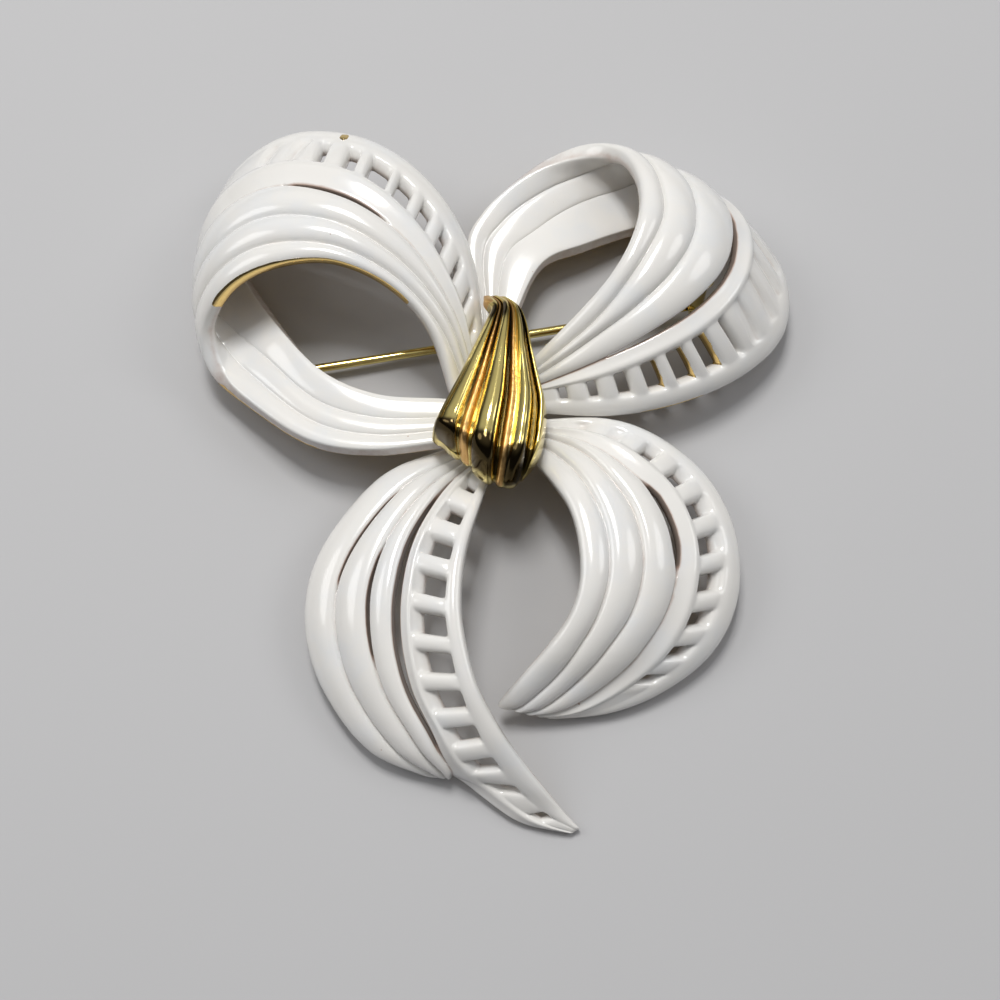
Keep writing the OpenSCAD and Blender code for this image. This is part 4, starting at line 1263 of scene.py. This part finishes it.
@dataclass
class Knot:
    """The fluted knot: a row for each section from its narrow top down, and its flutes across.

    A row has the left edge x, y and the right edge x, y in shares of the width and length, how far
    the section bows down in shares of the length, and its share of the full height. The flutes are
    pairs of a share of the width and a share of that height.
    """

    name: str = "knot_shell"
    core_name: str = "knot_core"
    width: float = 11.0
    length: float = 20.0
    top: float = 13.6
    foot: float = 8.3
    core_z: float = 3.2
    core_inset: float = 1.1
    flute_reach: float = 1.6
    hollow: float = 0.6
    edge: float = 0.16
    chip: float = 0.6
    chip_rows: float = 1.3
    chip_share: float = 0.3
    worn_rows: tuple[float, float] = (0.7, 1.2)
    worn_shares: tuple[float, float] = (0.12, 0.22)
    strip_fades: tuple[float, float] = (0.02, 0.01)
    early: float = 0.5
    early_shares: tuple[float, float] = (0.05, 0.45)
    core_lap: float = 0.5
    core_bevel: float = 0.25
    flute_rows: tuple[float, float] = (5.0, 8.0)
    column_count: int = 97
    steps: int = 5
    rows: tuple[tuple[float, ...], ...] = (
        (-0.06, 0.535,  0.16, 0.530, 0.000, 0.15),
        (0.01, 0.450,  0.28, 0.445, 0.000, 0.53),
        (-0.06, 0.330,  0.345, 0.345, 0.000, 0.75),
        (-0.16, 0.205,  0.39, 0.210, 0.000, 0.85),
        (-0.28, 0.060,  0.45, 0.060, 0.000, 0.90),
        (-0.40, -0.075, 0.50, -0.070, 0.000, 0.95),
        (-0.48, -0.170, 0.49, -0.195, 0.030, 0.99),
        (-0.51, -0.230, 0.45, -0.305, 0.085, 0.97),
        (-0.46, -0.262, 0.37, -0.390, 0.120, 0.34),
    )
    flutes: tuple[tuple[float, float], ...] = (
        (0, 0.10), (0.015, 0.50), (0.04, 0.70), (0.09, 0.80), (0.15, 0.85), (0.2, 0.86),
        (0.227, 0.82), (0.244, 0.70), (0.26, 0.74), (0.285, 0.80), (0.315, 0.79), (0.338, 0.73),
        (0.352, 0.66), (0.375, 0.84), (0.42, 0.93), (0.48, 0.97), (0.54, 0.95), (0.578, 0.84),
        (0.6, 0.54), (0.622, 0.70), (0.65, 0.80), (0.68, 0.79), (0.7, 0.75), (0.73, 0.80),
        (0.785, 0.85), (0.835, 0.80), (0.862, 0.60), (0.88, 0.36), (0.9, 0.42), (0.93, 0.56),
        (0.97, 0.50), (1, 0.10),
    )
    strips: tuple[tuple[float, float], ...] = ((0.262, 0.337), (0.622, 0.69))
    dark_lines: tuple[DarkLine, ...] = (
        # Painted shade in the grooves between the flutes
        DarkLine(0.246, 0.024, 1.0, 0.45),
        DarkLine(0.352, 0.026, 1.0, 0.25),
        DarkLine(0.597, 0.020, 1.0, 0.60),
        DarkLine(0.880, 0.022, 1.0, 0.65),
        # Painted dark reflections on the lower bulbs of the three flutes
        DarkLine(0.130, 0.165, 1.0, 1.0, 6.0, 8.2),
        DarkLine(0.470, 0.170, 1.0, 1.0, 6.2, 8.4),
        DarkLine(0.780, 0.150, 1.0, 1.0, 6.4, 8.6),
        # Painted dark reflections at the top of the flutes
        DarkLine(0.150, 0.110, 1.0, 1.0, 0.9, 2.4),
        DarkLine(0.440, 0.100, 1.0, 1.0, 0.7, 2.4),
    )

    def sheet(self) -> Sheet:
        """Lays the knot's shell, flat beneath.

        Returns:
            The shell as a closed sheet, with its painted masks.
        """
        table = np.array(self.rows)
        last = len(table) - 1
        n = last * self.steps + 1
        shares = np.linspace(0, 1, self.column_count)
        rise = np.array([self.rise(np.array(self.flutes), v) for v in shares])
        flare = self.flute_reach * np.maximum(0, rise - self.hollow) * smooth(0, self.edge, shares)
        bow = BOW_FACTOR * shares ** 2 * (1 - shares)
        front, back = np.zeros((n, len(shares), 3)), np.zeros((n, len(shares), 3))
        strip, painted_shade_and_reflection = np.zeros((n, len(shares))), np.zeros((n, len(shares)))
        for i in range(n):
            u = i / self.steps
            left_x, left_y, right_x, right_y, bowed, _ = row_at(table, u)
            out = flare * smooth(*self.flute_rows, u)
            chipped = self.chip * math.sin(math.pi * min(1, u / self.chip_rows)) ** 2
            x = self.width * (left_x + (right_x - left_x) * shares) - out / 3
            x = x - chipped * (1 - smooth(0, self.chip_share, shares))
            y = self.length * (left_y + (right_y - left_y) * shares - bowed * bow) - out
            z = (self.top - self.foot) * rise * self.level(table, u, shares)
            front[i] = KNOT_AT + np.stack([x, y, self.foot + z], 1)
            back[i] = KNOT_AT + np.stack([x, y, np.full(len(x), self.foot)], 1)
            strip[i] = self.copper_strips(u, shares)
            # Painted shade in the grooves and painted dark reflections on the flutes
            painted_shade_and_reflection[i] = np.max([line.over(u, last, shares) for line in self.dark_lines], 0)
        metal = np.ones((n - 1, len(shares) - 1), bool)
        blank = np.zeros_like(strip)
        masks = {Mask.STRIP: (strip, blank), Mask.GRIME: (painted_shade_and_reflection, blank)}
        return Sheet(self.name, front, back, metal, False, masks)

    def copper_strips(self, u: float, shares: np.ndarray) -> np.ndarray:
        """Works out where the plate is rough and coppery: the two strips, and the worn corner at the top.

        Args:
            u: The place, counted in rows.
            shares: The shares of the width.

        Returns:
            For each share, from 0 for polished to 1 for rough.
        """
        outer, inner = self.strip_fades
        worn = (1 - smooth(*self.worn_rows, u)) * (1 - smooth(*self.worn_shares, shares))
        strips = [smooth(low - outer, low + inner, shares) * (1 - smooth(high - inner, high + outer, shares))
                  for low, high in self.strips]
        return np.max([worn, *strips], 0)

    def level(self, table: np.ndarray, u: float, shares: np.ndarray) -> np.ndarray:
        """Works out the height along the knot, which falls away earlier in the short flutes at the left.

        Args:
            table: The knot's table.
            u: The place, counted in rows.
            shares: The shares of the width.

        Returns:
            For each share, the height as a share of the full one.
        """
        ahead = self.early * (1 - smooth(*self.early_shares, shares)) * smooth(*self.flute_rows, u)
        return np.array([row_at(table, min(u + more, len(table) - 1))[-1] for more in ahead])

    @staticmethod
    def rise(known: np.ndarray, v: float) -> float:
        """Finds the flutes' height at a share of the width, on a curve through the chosen ones.

        Args:
            known: The chosen shares and heights.
            v: The share.

        Returns:
            The height there.
        """
        k = int(np.clip(np.searchsorted(known[:, 0], v, "right") - 1, 0, len(known) - 2))
        t = (v - known[k, 0]) / (known[k + 1, 0] - known[k, 0])
        return float(row_at(known[:, 1:2], k + t)[0])

    def core(self, ribbons: list[Ribbon]) -> bpy.types.Object:
        """Builds the block under the shell, which the ribbons' roots stand round.

        Args:
            ribbons: The four ribbons: left loop, right loop, left tail, right tail.

        Returns:
            The block.
        """
        left_loop, right_loop, left_tail, right_tail = (ribbon.section(0.0) for ribbon in ribbons)
        corners = [right_loop.near, right_loop.far, right_tail.far, right_tail.near,
                   left_tail.far, left_tail.near, left_loop.near, left_loop.far]
        flat = np.array(corners)[:, :2]
        sides = np.array([unit(side) for side in np.roll(flat, -1, 0) - flat])
        inward = np.stack([sides[:, 1], -sides[:, 0]], 1)
        both = inward + np.roll(inward, 1, 0)
        ring = flat + both * (2 * self.core_inset / (both ** 2).sum(1))[:, None]
        points = [(x * MM, y * MM, z * MM) for z in (self.core_z, self.foot + self.core_lap) for x, y in ring]
        n = len(ring)
        faces = [tuple(range(n))[::-1], tuple(range(n, 2 * n))]
        faces += [(k, (k + 1) % n, n + (k + 1) % n, n + k) for k in range(n)]
        mesh = bpy.data.meshes.new(self.core_name)
        mesh.from_pydata(points, [], faces)
        made = placed(self.core_name, mesh)
        bevel = made.modifiers.new("soft_edges", "BEVEL")
        bevel.width, bevel.segments = self.core_bevel * MM, 2
        return made

    def build(self, finish: bpy.types.Material, ribbons: list[Ribbon]) -> list[bpy.types.Object]:
        """Builds the knot and dresses it.

        Args:
            finish: Its material.
            ribbons: The four ribbons that it gathers.

        Returns:
            The shell and the core.
        """
        made = [self.sheet().build(), self.core(ribbons)]
        for piece in made:
            piece.data.materials.append(finish)
        return made


# The pin, the stage and the view


@dataclass(frozen=True)
class PinWork:
    """The pin, its hinge and its hook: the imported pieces, dressed in polished gold."""

    nodes: tuple[str, ...] = ("hinge_bracket", "hinge_rivet", "pin_stem", "pin_catch")

    def dress(self, nodes: dict[str, bpy.types.Object], finish: bpy.types.Material) -> None:
        """Gives each piece its finish.

        Args:
            nodes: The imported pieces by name.
            finish: The material.
        """
        for name in self.nodes:
            for holder in nodes[name].material_slots:
                holder.link = "OBJECT"
                holder.material = finish
            LOG.info("dressed %s", name)


@dataclass(frozen=True)
class Softbox:
    """A round lamp that faces the brooch: azimuth 0 stands over the tails, 90 to the right.

    Its distance and width are in metres.
    """

    name: str
    azimuth: float
    elevation: float
    distance: float
    width: float
    watts: float
    colour: tuple[float, float, float] = (1.0, 1.0, 1.0)

    def build(self) -> None:
        """Places the lamp."""
        data = bpy.data.lights.new(self.name, "AREA")
        data.shape, data.size, data.energy, data.color = "DISK", self.width, self.watts, self.colour
        lamp = placed(self.name, data)
        a, e = math.radians(self.azimuth), math.radians(self.elevation)
        way = Vector((math.sin(a) * math.cos(e), -math.cos(a) * math.cos(e), math.sin(e)))
        lamp.location = way * self.distance
        lamp.rotation_euler = way.to_track_quat("Z", "Y").to_euler()


@dataclass(frozen=True)
class Studio:
    """The pale floor, the soft lamps and the camera, which looks down at the brooch's face.

    The surround is brightest up and behind: its light rises with the sum of a direction's y and z,
    weighed by lean, and again with its z alone, over the two ranges given. The floor's width and
    what the camera sees from and to are in metres, and its target and distance in millimetres.
    """

    floor_width: float = 1.6
    low_light: tuple[float, float, float] = (0.05, 0.05, 0.055)
    high_light: tuple[float, float, float] = (0.50, 0.50, 0.50)
    lean: tuple[float, float] = (0.6, 0.8)
    rises_behind: tuple[float, float] = (-0.05, 0.9)
    rises_above: tuple[float, float] = (0.15, 0.6)
    lamps: tuple[Softbox, ...] = (
        Softbox("key_lamp", 195.0, 66.0, 0.50, 0.15, 1.15, (1.0, 0.985, 0.96)),
        Softbox("left_lamp", 255.0, 42.0, 0.55, 0.26, 0.5),
        Softbox("right_lamp", 105.0, 45.0, 0.60, 0.26, 0.45),
        Softbox("glint_lamp", 190.0, 76.0, 0.60, 0.05, 0.4),
    )
    target: tuple[float, float, float] = (-0.24, -1.44, 2.7)
    elevation: float = 70.0
    distance: float = 153.0
    field_of_view: float = 36.0
    sensor_mm: float = 36.0
    seen_from_to: tuple[float, float] = (0.005, 20.0)
    shift: tuple[float, float] = (0.010, -0.018)

    def floor(self) -> bpy.types.Object:
        """Builds the floor.

        Returns:
            The floor.
        """
        half = self.floor_width / 2
        corners = [(-half, -half, 0), (half, -half, 0), (half, half, 0), (-half, half, 0)]
        mesh = bpy.data.meshes.new("floor")
        mesh.from_pydata(corners, [], [(0, 1, 2, 3)])
        mesh.materials.append(FloorFinish("pale_floor").build())
        return placed("floor", mesh)

    def sky(self) -> None:
        """Sets the surround: a bright ceiling behind the brooch, darker towards the viewer and the walls."""
        world = bpy.data.worlds.new("surround")
        world.use_nodes = True
        graph = Graph(world.node_tree)
        way = graph.add("ShaderNodeSeparateXYZ", {0: graph.add("ShaderNodeTexCoord").outputs["Generated"]})
        towards = graph.math("MULTIPLY_ADD", way.outputs["Y"], self.lean[0],
                             graph.math("MULTIPLY", way.outputs["Z"], self.lean[1]))
        share = graph.math("MULTIPLY", graph.step(towards, *self.rises_behind),
                           graph.step(way.outputs["Z"], *self.rises_above))
        colour = graph.mix(share, rgba(self.low_light), rgba(self.high_light))
        light = graph.add("ShaderNodeBackground", {"Color": colour, "Strength": 1.0})
        graph.add("ShaderNodeOutputWorld", {"Surface": light.outputs["Background"]})
        bpy.context.scene.world = world
        bpy.context.scene.view_settings.view_transform = "Standard"

    def camera(self) -> None:
        """Places the camera at the photo's angle."""
        data = bpy.data.cameras.new("camera")
        data.sensor_width, data.angle = self.sensor_mm, math.radians(self.field_of_view)
        data.shift_x, data.shift_y = self.shift
        data.clip_start, data.clip_end = self.seen_from_to
        made = placed("camera", data)
        e = math.radians(self.elevation)
        back = Vector((0, -math.cos(e), math.sin(e)))
        made.location = (Vector(self.target) + back * self.distance) * MM
        made.rotation_euler = (-back).to_track_quat("-Z", "Y").to_euler()
        bpy.context.scene.camera = made

    def build(self) -> None:
        """Builds the floor, the lamps, the surround and the camera."""
        self.floor()
        for lamp in self.lamps:
            lamp.build()
        self.sky()
        self.camera()


def main() -> None:
    """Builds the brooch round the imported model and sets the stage."""
    logging.basicConfig(level=logging.INFO, format="%(name)s: %(message)s")
    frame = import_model()
    enamel = EnamelFinish("white_enamel").build()
    gold = GoldFinish("polished_gold").build()
    ribbons = bow_ribbons()
    for ribbon in ribbons:
        piece = ribbon.build(enamel)
        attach(piece, "brooch")
        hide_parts(ribbon.name.removesuffix("_ribbon"))
        LOG.info("built %s with %d faces", piece.name, len(piece.data.polygons))
    for piece in Knot().build(gold, ribbons):
        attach(piece, "brooch")
        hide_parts("knot")
        LOG.info("built %s with %d faces", piece.name, len(piece.data.polygons))
    PinWork().dress(frame["nodes"], gold)
    Studio().build()


if __name__ == "__main__":
    main()
